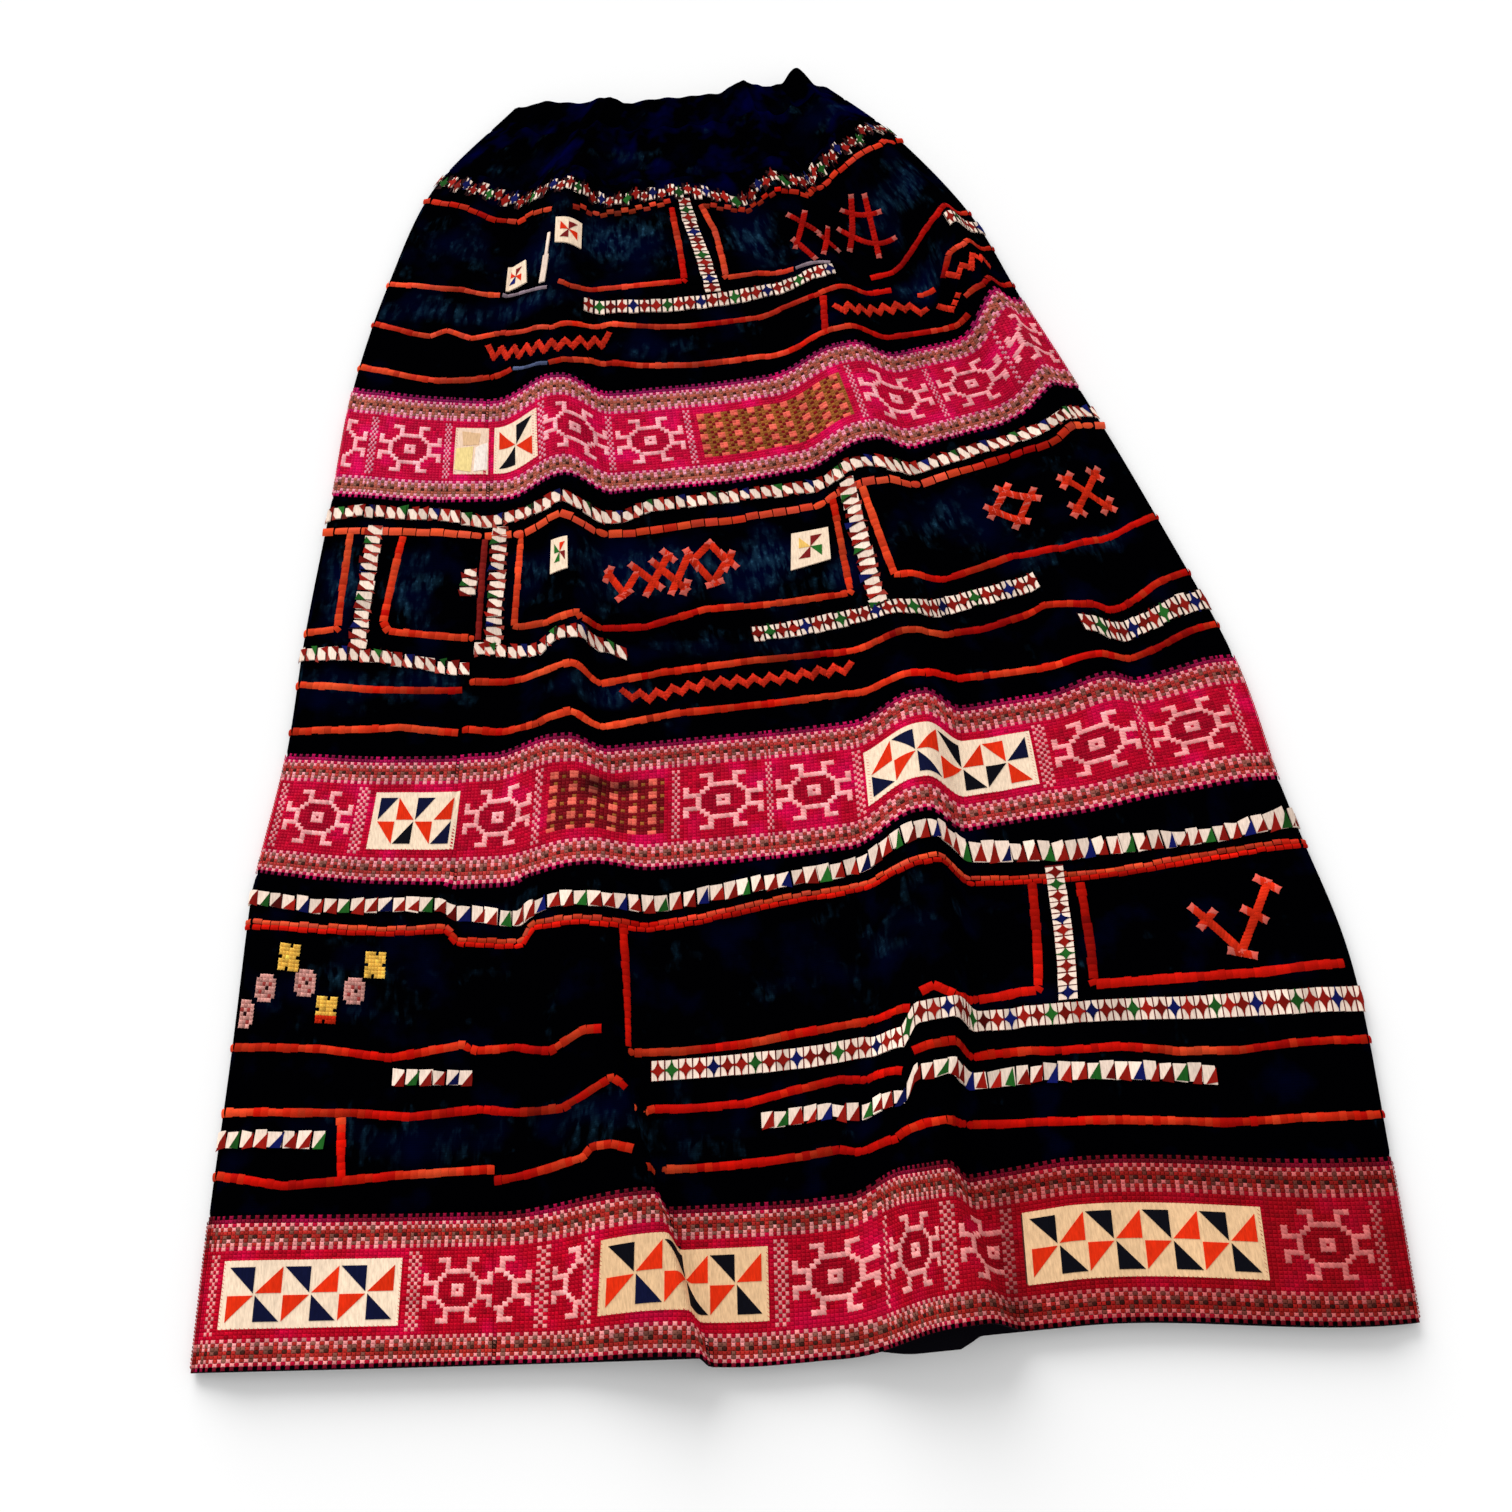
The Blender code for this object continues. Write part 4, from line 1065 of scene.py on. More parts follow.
# %% The sewing group
def sewing_group():
    """The nodes that set one stitch on every point and give it its own cell of the map."""
    tree = bpy.data.node_groups.new("sew", "GeometryNodeTree")
    sockets = (("Points", "Geometry"), ("Stitch", "Object"), ("Thread", "Material"),
               ("Cells a side", "Float"), ("Unevenness", "Float"), ("Seed", "Int"))
    for name, kind in sockets:
        tree.interface.new_socket(name, in_out="INPUT", socket_type="NodeSocket" + kind)
    tree.interface.new_socket("Geometry", in_out="OUTPUT", socket_type="NodeSocketGeometry")
    g = Graph(tree)
    given = {name: g.node("NodeGroupInput", output=i) for i, (name, _) in enumerate(sockets)}

    def carried(name):
        return g.node("GeometryNodeInputNamedAttribute", {"Name": name}, data_type="FLOAT_VECTOR")

    def vector(operation, first, second):
        return g.node("ShaderNodeVectorMath", {0: first, 1: second}, operation=operation)

    turned = g.node("FunctionNodeAxesToRotation", {"Primary Axis": carried("out"),
                                                   "Secondary Axis": carried("along")},
                    primary_axis="Z", secondary_axis="X")
    chance = g.node("FunctionNodeRandomValue",
                    {0: (-1, -1, -1), 1: (1, 1, 1), "Seed": given["Seed"]}, data_type="FLOAT_VECTOR")
    uneven = vector("ADD", vector("MULTIPLY", chance, given["Unevenness"]), (1, 1, 1))
    shape = g.node("GeometryNodeObjectInfo", {"Object": given["Stitch"]}, output="Geometry")
    sewn = g.node("GeometryNodeInstanceOnPoints", {
        "Points": given["Points"], "Instance": shape, "Rotation": turned,
        "Scale": vector("MULTIPLY", carried("size"), uneven)})
    real = g.node("GeometryNodeRealizeInstances", {"Geometry": sewn})
    own = g.node("GeometryNodeInputNamedAttribute", {"Name": BAKE_MAP}, data_type="FLOAT_VECTOR")
    placed = vector("DIVIDE", vector("ADD", carried("cell"), own), given["Cells a side"])
    mapped = g.node("GeometryNodeStoreNamedAttribute", {"Geometry": real, "Name": BAKE_MAP,
                                                        "Value": placed},
                    data_type="FLOAT2", domain="CORNER")
    finished = g.node("GeometryNodeSetMaterial", {"Geometry": mapped, "Material": given["Thread"]})
    g.node("NodeGroupOutput", {"Geometry": finished})
    return tree


SEW = sewing_group()
print("nodes of the group:", len(SEW.nodes))

# %% [markdown]
# A sewing gathers points from many lines or fields and sews them in one go. The result is made a
# plain mesh at once, so that no modifier is left.

# %% Sew many points
class Threads:
    """Points for the sewing group, with what each one carries."""

    def __init__(self):
        self.rows = []

    def add(self, points, along, out, size, colours):
        self.rows.append((points, along, out, size, colours))

    def sew(self, name, shape, thread, unevenness=0.08, seed=5):
        points, along, out, size, colours = (np.concatenate(part) for part in zip(*self.rows))
        across = math.ceil(math.sqrt(len(points)))
        order = np.arange(len(points))
        cell = np.stack([order % across, order // across, 0 * order], 1)
        made = mesh_object(name, points, [], thread)
        for label, values in (("along", along), ("out", out), ("size", size), ("cell", cell)):
            layer = made.data.attributes.new(label, "FLOAT_VECTOR", "POINT")
            layer.data.foreach_set("vector", np.asarray(values, np.float32).ravel())
        layer = made.data.attributes.new("thread", "FLOAT_COLOR", "POINT")
        layer.data.foreach_set("color", np.asarray(colours, np.float32).ravel())
        modifier = made.modifiers.new("sew", "NODES")
        modifier.node_group = SEW
        values = (None, shape, thread, float(across), unevenness, seed)
        sockets = [item for item in SEW.interface.items_tree if item.in_out == "INPUT"]
        for item, value in zip(sockets, values):
            if value is not None:
                modifier[item.identifier] = value
        graph = bpy.context.evaluated_depsgraph_get()
        sewn = bpy.data.meshes.new_from_object(made.evaluated_get(graph), depsgraph=graph)
        made.modifiers.clear()
        made.data = sewn
        for label in ("along", "out", "size", "cell"):
            if label in sewn.attributes:
                sewn.attributes.remove(sewn.attributes[label])
        sewn.polygons.foreach_set("use_smooth", [True] * len(sewn.polygons))
        triangles = sum(len(p.vertices) - 2 for p in sewn.polygons)
        print(name, len(points), "stitches,", triangles, "triangles")
        return made


print("ready to sew with", SEW.name)

# %% [markdown]
# Every stitch of the bands' fronts is a real cross now. A stitch is as wide as its cell, so where
# the gathers squeeze the cloth the stitches are squeezed with it.

# %% Sew the bands
STITCH_HEIGHT, STITCH_LIFT = 0.42, 0.05
LARGER_STITCHES = {"L": 1.65, "s": 1.3}
for band, (letters, turns, colours, seen, start) in BAND_STITCHES.items():
    row, column = np.nonzero((letters != " ") & (letters != ".") & seen[None, :])
    middle = (turns[column] + turns[column + 1]) / 2
    pitch = BAND / ROWS
    drop = start + (row + 0.5) * pitch
    points, out = tube(middle, drop, STITCH_LIFT)
    left, _ = tube(turns[column], drop, STITCH_LIFT)
    right, _ = tube(np.mod(turns[column + 1], 4), drop, STITCH_LIFT)
    upper, _ = tube(middle, drop - pitch / 2, STITCH_LIFT)
    lower, _ = tube(middle, drop + pitch / 2, STITCH_LIFT)
    size = np.stack([np.linalg.norm(right - left, axis=1), np.linalg.norm(lower - upper, axis=1),
                     np.full(len(row), STITCH_HEIGHT * MM)], 1)
    for letter, larger in LARGER_STITCHES.items():
        size *= np.where(letters[row, column] == letter, larger, 1.0)[:, None]
    sewing = Threads()
    sewing.add(points, right - left, out, size, colours[row, column])
    keep(sewing.sew(f"band_{band}_stitches", CROSS, STITCH_THREAD))

# %% [markdown]
# ## Cotton scraps on the cloth
#
# White strips, bars and squares are sewn on the panels, and coloured scraps on those. All of them
# are small flat shapes with three or four corners. A layer gathers them: each shape is laid on the
# cloth, follows its folds, and has a turned-down edge all round.

# %% Lay small shapes on the cloth
SQUARE = ((0, 0), (1, 0), (1, 1), (0, 1))
SCRAP_SHARE, SCRAP_MARGIN, RIM_SHARE = 0.8, 0.1, 0.08


def facet(corners, steps):
    """The points of a divided shape as shares of its corners, its faces, and its edge in order."""
    spots, number = [], {}
    for j in range(steps + 1):
        for i in range(steps + 1 if corners == 4 else steps + 1 - j):
            number[i, j] = len(spots)
            a, b = i / steps, j / steps
            if corners == 3:
                spots.append((1 - a - b, a, b))
            else:
                spots.append(((1 - a) * (1 - b), a * (1 - b), a * b, (1 - a) * b))
    faces = []
    for j in range(steps):
        for i in range(steps if corners == 4 else steps - j):
            here, beside, above = number[i, j], number[i + 1, j], number[i, j + 1]
            if corners == 4:
                faces.append((here, beside, number[i + 1, j + 1], above))
            else:
                faces.append((here, beside, above))
                if i + j < steps - 1:
                    faces.append((beside, number[i + 1, j + 1], above))
    rim = [(i, 0) for i in range(steps)]
    if corners == 4:
        rim += [(steps, j) for j in range(steps)] + [(steps - i, steps) for i in range(steps)]
    else:
        rim += [(steps - j, j) for j in range(steps)]
    rim += [(0, steps - j) for j in range(steps)]
    return np.array(spots), faces, [number[spot] for spot in rim]


print("a divided square:", len(facet(4, 2)[1]), "faces, a triangle:", len(facet(3, 2)[1]))

# %% [markdown]
# Each corner of a scrap is a place on the cloth, the points between follow the folds, and the edge
# turns down all round. A shrinkwrap would slide the corners.

# %% Gather the scraps
class Scraps:
    """Shapes laid on the cloth and gathered into one piece, with a colour for each."""

    def __init__(self):
        self.points, self.faces, self.colours, self.maps, self.count = [], [], [], [], 0

    def add(self, where, corners, height, colour, steps=2, foot=-0.1):
        """where turns the shape's own corners into turns and drops of the tube."""
        spots, faces, rim = facet(len(corners), steps)
        flat = spots @ np.array(corners, float)
        turns, drops = where(flat[:, 0], flat[:, 1])
        top, out = tube(np.mod(turns, 4), drops, height)
        low, _ = tube(np.mod(turns[rim], 4), drops[rim], foot)
        first = sum(len(p) for p in self.points)
        a, b, c = (top[i] for i in faces[0][:3])
        if np.dot(np.cross(b - a, c - a), out[faces[0][0]]) < 0:
            faces, rim, low = [face[::-1] for face in faces], rim[::-1], low[::-1]
        edge = [(rim[i], len(top) + i, len(top) + (i + 1) % len(rim), rim[(i + 1) % len(rim)])
                for i in range(len(rim))]
        seen = spots @ np.array(SQUARE[:len(corners)]) * SCRAP_SHARE + SCRAP_MARGIN
        rim_seen = seen[rim] + RIM_SHARE * np.sign(seen[rim] - 0.5)
        self.points += [top, low]
        self.maps.append((self.count, np.concatenate([seen, rim_seen]), faces + edge))
        self.faces += [tuple(i + first for i in face) for face in faces + edge]
        self.colours += [colour] * (len(faces) + len(edge))
        self.count += 1

    def make(self, name, material):
        made = mesh_object(name, np.concatenate(self.points), self.faces, material)
        colour_faces(made, np.array(self.colours))
        across = math.ceil(math.sqrt(self.count))
        corners = [(seen[i] + [order % across, order // across]) / across
                   for order, seen, faces in self.maps for face in faces for i in face]
        add_map(made, BAKE_MAP, np.array(corners))
        made.data.polygons.foreach_set("use_smooth", [False] * len(made.data.polygons))
        print(name, self.count, "scraps,", sum(len(f) - 2 for f in self.faces), "triangles")
        return made


# The darker cream, used for the lowest band's middle and right patches, is painted shade.
CREAM, SHADED_CREAM = dye(242, 216, 188), dye(226, 186, 142)
DARK_RED, LEAF_GREEN, NAVY = dye(122, 26, 26), dye(36, 104, 36), dye(14, 22, 96)
ORANGE_RED, BROWN_BLACK, BUTTER = dye(216, 44, 12), dye(34, 8, 10), dye(232, 186, 96)
BRICK = dye(160, 26, 16)


def shade(colour, spread=0.06):
    """The colour a little lighter or darker, as one scrap differs from the next."""
    return np.append(np.clip(colour[:3] * random.normal(1, spread), 0, 1), 1.0)


print("cream as light:", np.round(CREAM, 3))

# %% [markdown]
# ## Pinwheel patches of the bands
#
# Some fields of the bands hold a cream cotton patch with pinwheels: two rows of squares, each half
# covered by a coloured triangle. Each pair below says a triangle's colour and the corner where its
# right angle is, counted clockwise from the upper left.

# %% Pinwheel patches
Pinwheels = namedtuple("Pinwheels", "band left right top bottom sheet steps", defaults=(CREAM, 5))
TURNING = {"O": ORANGE_RED, "N": dye(10, 14, 46), "K": dye(8, 8, 16)}
CORNERS = {"1": ((0, 0), (1, 0), (0, 1)), "2": ((1, 0), (1, 1), (0, 0)),
           "3": ((1, 1), (0, 1), (1, 0)), "4": ((0, 1), (0, 0), (1, 1))}
PATCH_FIELDS = (
    Pinwheels(1, 0.2062, 0.2691, "O4 K1", "K3 O2"),
    Pinwheels(2, 0.097, 0.1816, "N1 O4 N1 O3", "O2 K3 O2 N3"),
    Pinwheels(2, 0.5933, 0.7664, "O3 N2 O3 K2 O3 O2 N3", "N4 O1 N4 O1 K4 K1 O4", CREAM, 8),
    Pinwheels(3, 0.016, 0.1637, 3 * "N2 O3 ", 3 * "O1 N4 "),
    Pinwheels(3, 0.3243, 0.4672, 3 * "K2 O3 ", "O1 N4 " + 2 * "O1 K4 ", SHADED_CREAM, 12),
    Pinwheels(3, 0.6828, 0.883, 4 * "K2 O3 ", 4 * "O1 K4 ", SHADED_CREAM),
)
TRIANGLE_SHARE = 0.92
PALE_PATCH = ((SQUARE, dye(238, 206, 180)),
              (((0.05, 0.45), (0.55, 0.4), (0.5, 0.95), (0.02, 0.9)), dye(238, 212, 142)),
              (((0.2, 0.08), (0.75, 0.12), (0.7, 0.36), (0.25, 0.38)), dye(222, 182, 140)),
              (((0.62, 0.42), (0.98, 0.3), (0.96, 0.9), (0.58, 0.94)), dye(244, 230, 218)))
PALE_LEFT, PALE_RIGHT = 0.152, 0.1985
PATCH_TOP, PATCH_BOTTOM = 25.5, 64.5
PATCH_MARGIN = 3.2
EDGE_SHARE = PATCH_MARGIN / (PATCH_BOTTOM - PATCH_TOP)
BAND_WIDTHS = {1: 510.0, 2: 630.0, 3: 678.0}
SHEET_HEIGHT, SCRAP_HEIGHT = 0.55, 0.8


def field_spot(band, left, right):
    """Turns shares of a patch into turns and drops of its band."""
    start = TOP + TIER * band - BAND
    return lambda s, t: (between(left, right, s), start + between(PATCH_TOP, PATCH_BOTTOM, t))


def add_pinwheels(scraps, patch):
    """The sheet of one patch, in one piece for each column, and its two rows of triangles."""
    where = field_spot(patch.band, patch.left, patch.right)
    side = PATCH_MARGIN / (BAND_WIDTHS[patch.band] * (patch.right - patch.left))
    cuts = np.linspace(0, 1, len(patch.top.split()) + 1)
    for low, high in zip(cuts, cuts[1:]):
        scraps.add(where, ((low, 0), (high, 0), (high, 1), (low, 1)), SHEET_HEIGHT,
                   shade(patch.sheet, 0.03), patch.steps)
    for row, pairs in enumerate((patch.top.split(), patch.bottom.split())):
        step = (1 - 2 * side) / len(pairs)
        for column, (colour, corner) in enumerate(pairs):
            spots = (np.array(CORNERS[corner]) - 0.5) * TRIANGLE_SHARE + 0.5
            corners = [(side + step * (column + x), EDGE_SHARE + (1 - 2 * EDGE_SHARE) / 2 * (row + y))
                       for x, y in spots]
            scraps.add(where, corners, SCRAP_HEIGHT, shade(TURNING[colour]), patch.steps,
                       foot=SHEET_HEIGHT)


for band in BANDS:
    scraps = Scraps()
    for patch in (p for p in PATCH_FIELDS if p.band == band):
        add_pinwheels(scraps, patch)
    if band == 1:
        for i, (corners, colour) in enumerate(PALE_PATCH):
            scraps.add(field_spot(1, PALE_LEFT, PALE_RIGHT), corners,
                       SCRAP_HEIGHT if i else SHEET_HEIGHT, colour, 5)
    keep(scraps.make(f"band_{band}_patches", WHITE_COTTON))

# %% [markdown]
# ## White strips and bars
#
# The patchwork strips are long rows of small cotton squares, in several styles. Squares with teeth
# have triangles that point up or down, a grid has dark lines between its coloured diamonds, a cross
# has paler ones, ragged squares sit in turn above and below their line, and plain ones have nothing
# on them. The strips start from the solids' places, and the long ones wave with the gathers.

# %% Strips, bars and squares
Strip = namedtuple("Strip", "name tier top left right style")
STRIP_WIDTH = 12.0
STRIPS = rows_of(
    Strip,
    ("tooth_strip_1", 1, 10, 0, 1, "ragged"),
    ("low_strip_1_middle", 1, 121.5, 0.329, 0.75, "grid"),
    ("low_strip_1_right", 1, 121.5, 0.942, 1, "grid"),
    ("tooth_strip_2", 2, 10, 0, 1, "teeth_up"),
    ("low_strip_2_left", 2, 120.5, 0, 0.185, "teeth_up"),
    ("low_strip_2_beside", 2, 120.5, 0.191, 0.362, "teeth_up"),
    ("low_strip_2_middle", 2, 120.5, 0.505, 0.837, "grid"),
    ("low_strip_2_right", 2, 159, 0.856, 1, "grid"),
    ("tooth_strip_3", 3, 10, 0, 1, "teeth_down"),
    ("low_strip_3_left", 3, 114, 0.14, 0.2105, "teeth_down"),
    ("low_strip_3_right", 3, 114, 0.366, 1, "cross"),
    ("lowest_strip_3_left", 3, 150, 0, 0.089, "teeth_down"),
    ("lowest_strip_3_right", 3, 150, 0.46, 0.862, "teeth_down"),
)
Patch = namedtuple("Patch", "name tier top bottom width top_place bottom_place style")
PATCHES = rows_of(
    Patch,
    ("white_bar_1", 1, 22.5, 121, 12, 0.533, 0.5445, "grid"),
    ("square_patch_1_upper", 1, 52, 76, 22, 0.3005, 0.3005, "pinwheel"),
    ("square_patch_1_lower", 1, 83, 106, 17, 0.2075, 0.211, "pinwheel"),
    ("white_bar_2_left", 2, 22.5, 120, 12, 0.059, 0.0593, "teeth_up"),
    ("white_bar_2_beside", 2, 22.5, 120, 12, 0.2172, 0.2135, "teeth_up"),
    ("white_bar_2_right", 2, 22.5, 126, 12, 0.662, 0.6525, "teeth_up"),
    ("square_patch_2_fold", 2, 49.5, 73.5, 12, 0.2928, 0.2905, "pinwheel"),
    ("square_patch_2_right", 2, 50, 79, 28, 0.6036, 0.5921, "pinwheel"),
    ("white_bar_3", 3, 22.5, 113.5, 12, 0.7598, 0.7403, "cross"),
)
# Small pieces that have no solid of their own.
EXTRAS = (
    Patch("thin_bar_1_upper", 1, 66.0, 87.0, 2.2, 0.2655, 0.263, "plain"),
    Patch("thin_bar_1", 1, 86.0, 111.0, 4.5, 0.263, 0.2605, "plain"),
    Patch("small_patch_2", 2, 57.0, 79.0, 12.0, 0.183, 0.1815, "teeth_up"),
)
# The gathers pull the long strips up and down: the drop of their middle at some places.
STRIP_PATHS = {
    "tooth_strip_1": ((0, 87.5), (0.07, 90), (0.16, 84.5), (0.22, 93.5), (0.28, 96.5), (0.41, 93.5),
        (0.51, 89.5), (0.56, 92), (0.6, 98), (0.645, 107), (0.69, 100.5), (0.73, 95), (0.755, 104),
        (0.79, 101), (0.835, 85.5), (0.88, 89), (0.915, 99.5), (1, 93)),
    "low_strip_1_middle": ((0.325, 202), (0.4, 203), (0.46, 205), (0.52, 204.5), (0.58, 202.5),
        (0.63, 198), (0.69, 198), (0.75, 191.5)),
    "low_strip_2_left": ((0, 486), (0.05, 484.5), (0.085, 486), (0.125, 490), (0.153, 493.5),
        (0.185, 497)),
    "low_strip_2_beside": ((0.19, 482.5), (0.22, 484), (0.242, 487.5), (0.264, 491.5), (0.282, 484.5),
        (0.306, 485), (0.34, 486.5), (0.362, 494)),
    "low_strip_2_middle": ((0.5, 487.5), (0.56, 487), (0.62, 485.5), (0.65, 490), (0.68, 496.5),
        (0.698, 498), (0.726, 491), (0.757, 489), (0.837, 487.5)),
    "low_strip_2_right": ((0.856, 524), (0.879, 530), (0.897, 529.5), (0.935, 526.5), (1, 524.5)),
    "tooth_strip_2": ((0, 376), (0.04, 371.5), (0.14, 371), (0.2, 378.5), (0.24, 375.5), (0.275, 379),
        (0.3, 377), (0.315, 382.5), (0.375, 381.5), (0.41, 374), (0.54, 372), (0.625, 375.5),
        (0.67, 373.5), (0.72, 382), (0.77, 377.5), (0.85, 374.5), (0.895, 375), (0.94, 382.5), (1, 383)),
    "tooth_strip_3": ((0, 663), (0.06, 663.5), (0.13, 658.5), (0.195, 658), (0.265, 665.5), (0.28, 664),
        (0.33, 668), (0.39, 667), (0.47, 661), (0.57, 656.5), (0.67, 654), (0.71, 657), (0.77, 660),
        (0.83, 661), (0.885, 664), (0.94, 664.5), (1, 661)),
    "low_strip_3_right": ((0.36, 765), (0.555, 763), (0.585, 772), (0.597, 760.5), (0.655, 762),
        (0.69, 766), (0.77, 767), (0.86, 770), (1, 772)),
    "lowest_strip_3_right": ((0.46, 797), (0.52, 795), (0.56, 800), (0.583, 806), (0.593, 793),
        (0.64, 793.5), (0.7, 797.5), (0.8, 800), (0.862, 803)),
}
LAID_HEIGHT, ON_TOP_HEIGHT, RAGGED_LIFT = 1.1, 1.35, 0.13
LINE_LIFTS = (0.08, 0.12, 0.16)
CROSS_LINE, GRID_LINE = 0.05, 0.085
TOOTH_WIDTH = 0.86
UNIT_COLOURS, UNIT_SHADE = (BRICK, LEAF_GREEN, BRICK, BRICK, NAVY, BRICK), 0.62
AGED_CREAM, TRIANGLE_RED = dye(236, 212, 194), dye(150, 52, 42)
# What reaches a side edge goes on round it, half across the back.
OVER_LEFT, OVER_RIGHT = -0.5, 1.5
WAY_STEPS = 400
# How far each style's scraps stray, how ragged its squares are and how long its units.
STYLES = {"cross": (0.02, 0.03, 8.2), "grid": (0.05, 0.1, 8.2), "ragged": (0.09, 0.3, 6.6),
          "teeth_up": (0.07, 0.15, 7.4), "teeth_down": (0.06, 0.15, 8.5), "plain": (0.01, 0.0, 8.5)}
print("strips:", len(STRIPS), "bars and squares:", len(PATCHES) + len(EXTRAS))

# %% [markdown]
# A strip is sewn unit by unit: a cream square with its teeth, lines or diamond, every corner moved a
# little by chance. Instances of one unit would all be alike.

# %% Squares of a strip
def lengths_along(points):
    """How far along a row of points each of them lies, in millimetres."""
    return running(np.linalg.norm(np.diff(points, axis=0), axis=1)) / MM


def way_across(drop, left, right):
    """Lengths along the cloth at one drop, so that shapes can be spaced evenly in millimetres."""
    turns = np.linspace(left, right, WAY_STEPS)
    points, _ = tube(np.mod(turns, 4), np.full(WAY_STEPS, drop), 1.0)
    return turns, lengths_along(points)


def darker(colour, share):
    return colour * [share, share, share, 1]


def add_units(scraps, where, length, style):
    """The squares of one strip, with a coloured scrap or two on each. No two are quite alike."""
    wobble, ragged, pitch = STYLES[style]
    count = max(round(length / pitch), 1)
    step = 1 / count

    def put(corners, colour, height=ON_TOP_HEIGHT, stray=wobble, foot=LAID_HEIGHT, steps=2):
        moved = [(low + step * (x + random.normal(0, stray)), y + lift + random.normal(0, stray))
                 for x, y in corners]
        scraps.add(where, moved, height, colour, steps, foot)

    for i in range(count):
        low = i * step
        lift = 0.0 if style != "ragged" else RAGGED_LIFT if i % 2 else -RAGGED_LIFT
        upper, lower, left, right = random.uniform(0, ragged, 4)
        put(((left, upper), (1 - right, upper), (1 - right, 1 - lower), (left, 1 - lower)),
            shade(AGED_CREAM, 0.12), LAID_HEIGHT, ragged / 5, -0.1, 3)
        colour = shade(UNIT_COLOURS[i % len(UNIT_COLOURS)] * UNIT_SHADE, 0.25)
        if style == "teeth_down":
            put(((0.2, 0.98), (1, 0.98), (1, 0.12)), colour)
        elif style == "teeth_up":
            put(((0.34, 0), (1, 0), (1, 0.66)), colour)
            put(((0, 0.45), (0, 1), (0.42, 1)), shade(TRIANGLE_RED, 0.3))
            if i % 3 == 1:
                put(((0.86, 0), (1.06, 0), (1.06, 1), (0.9, 1)), BROWN_BLACK)
        elif style != "plain":
            cross = style == "cross"
            half = CROSS_LINE if cross else GRID_LINE
            outline = darker(shade(DARK_RED, 0.2), 0.5) if cross else BROWN_BLACK
            line = colour if cross else darker(colour, 0.45)
            near, far = 0.5 - half, 0.5 + half
            bars = ((((-half, 0), (half, 0), (half, 1), (-half, 1)), outline),
                    (((0, near), (1, near), (1, far), (0, far)), line),
                    (((near, 0), (far, 0), (far, 1), (near, 1)), line))
            for (corners, thread), above in zip(bars, LINE_LIFTS):
                put(corners, thread, LAID_HEIGHT + above, wobble / 2)
            for a, b in ((0, 1), (1, 0)):
                arm = [(0.5 + a * x + b * y, 0.5 + b * x + a * y)
                       for x, y in ((-0.48, 0), (0, -0.24), (0.48, 0), (0, 0.24))]
                put(arm, colour, ON_TOP_HEIGHT + 0.04 * a, wobble / 2)
            put(((0.5, 0.14), (0.86, 0.5), (0.5, 0.86), (0.14, 0.5)), colour)
        if style == "ragged" and i % 2:
            put(((0.7, -0.05), (1.25, -0.05), (1.0, 0.4)), BROWN_BLACK)
            put(((0.1, 1.05), (0.35, 0.62), (0.65, 1.05)), BROWN_BLACK)


def add_pinwheel(scraps, where, colours):
    """A small square with four turning triangles, cut a little askew."""
    scraps.add(where, np.array(SQUARE) + random.normal(0, 0.045, (4, 2)), LAID_HEIGHT,
               shade(CREAM, 0.03), 6)
    for (x, y), corner, colour in zip(((0, 0), (1, 0), (0, 1), (1, 1)), "2314", colours):
        corners = [(0.2 + 0.3 * (x + a), 0.2 + 0.3 * (y + b)) for a, b in CORNERS[corner]]
        scraps.add(where, corners, ON_TOP_HEIGHT, colour, 3, foot=LAID_HEIGHT)


print("styles:", list(STYLES))

# %% [markdown]
# Strips run across the cloth and follow their path, bars and squares run down it. Each tier's trim is
# one piece, which stands for the solids of its strips, bars and squares.

# %% Sew the white trim
PINWHEEL_COLOURS = {
    "square_patch_1_upper": (ORANGE_RED, DARK_RED, DARK_RED, ORANGE_RED),
    "square_patch_1_lower": (ORANGE_RED, NAVY, DARK_RED, ORANGE_RED),
    "square_patch_2_fold": (LEAF_GREEN, LEAF_GREEN, ORANGE_RED, DARK_RED),
    "square_patch_2_right": (BUTTER, DARK_RED, DARK_RED, LEAF_GREEN),
}


def add_strip(scraps, strip, panel):
    """A strip that runs across the front and follows its path down and up."""
    left = OVER_LEFT if strip.left == 0 else strip.left
    right = OVER_RIGHT if strip.right == 1 else strip.right
    middle = panel + strip.top + STRIP_WIDTH / 2
    path = STRIP_PATHS.get(strip.name, ((0, middle), (1, middle)))
    turns, lengths = way_across(middle, left, right)
    width = STRIP_WIDTH * (TOOTH_WIDTH if strip.style.startswith("teeth") else 1.0)

    def where(s, t):
        turn = np.interp(s * lengths[-1], lengths, turns)
        return turn, np.interp(turn, *zip(*path)) + width * (t - 0.5)

    add_units(scraps, where, lengths[-1], strip.style)


def add_patch(scraps, patch, panel):
    """A bar or a square patch, which runs down the cloth."""
    _, lengths = way_across(panel + (patch.top + patch.bottom) / 2, 0.0, 1.0)

    def where(s, t):
        middle = between(patch.top_place, patch.bottom_place, s)
        return (middle + (t - 0.5) * patch.width / lengths[-1],
                panel + between(patch.top, patch.bottom, s))

    if patch.style == "pinwheel":
        add_pinwheel(scraps, where, PINWHEEL_COLOURS[patch.name])
    else:
        add_units(scraps, where, patch.bottom - patch.top, patch.style)


for tier, panel in PANEL_TOPS.items():
    scraps = Scraps()
    for strip in (s for s in STRIPS if s.tier == tier):
        add_strip(scraps, strip, panel)
    for patch in (p for p in PATCHES + EXTRAS if p.tier == tier):
        add_patch(scraps, patch, panel)
    keep(scraps.make(f"white_trim_{tier}", WHITE_COTTON))

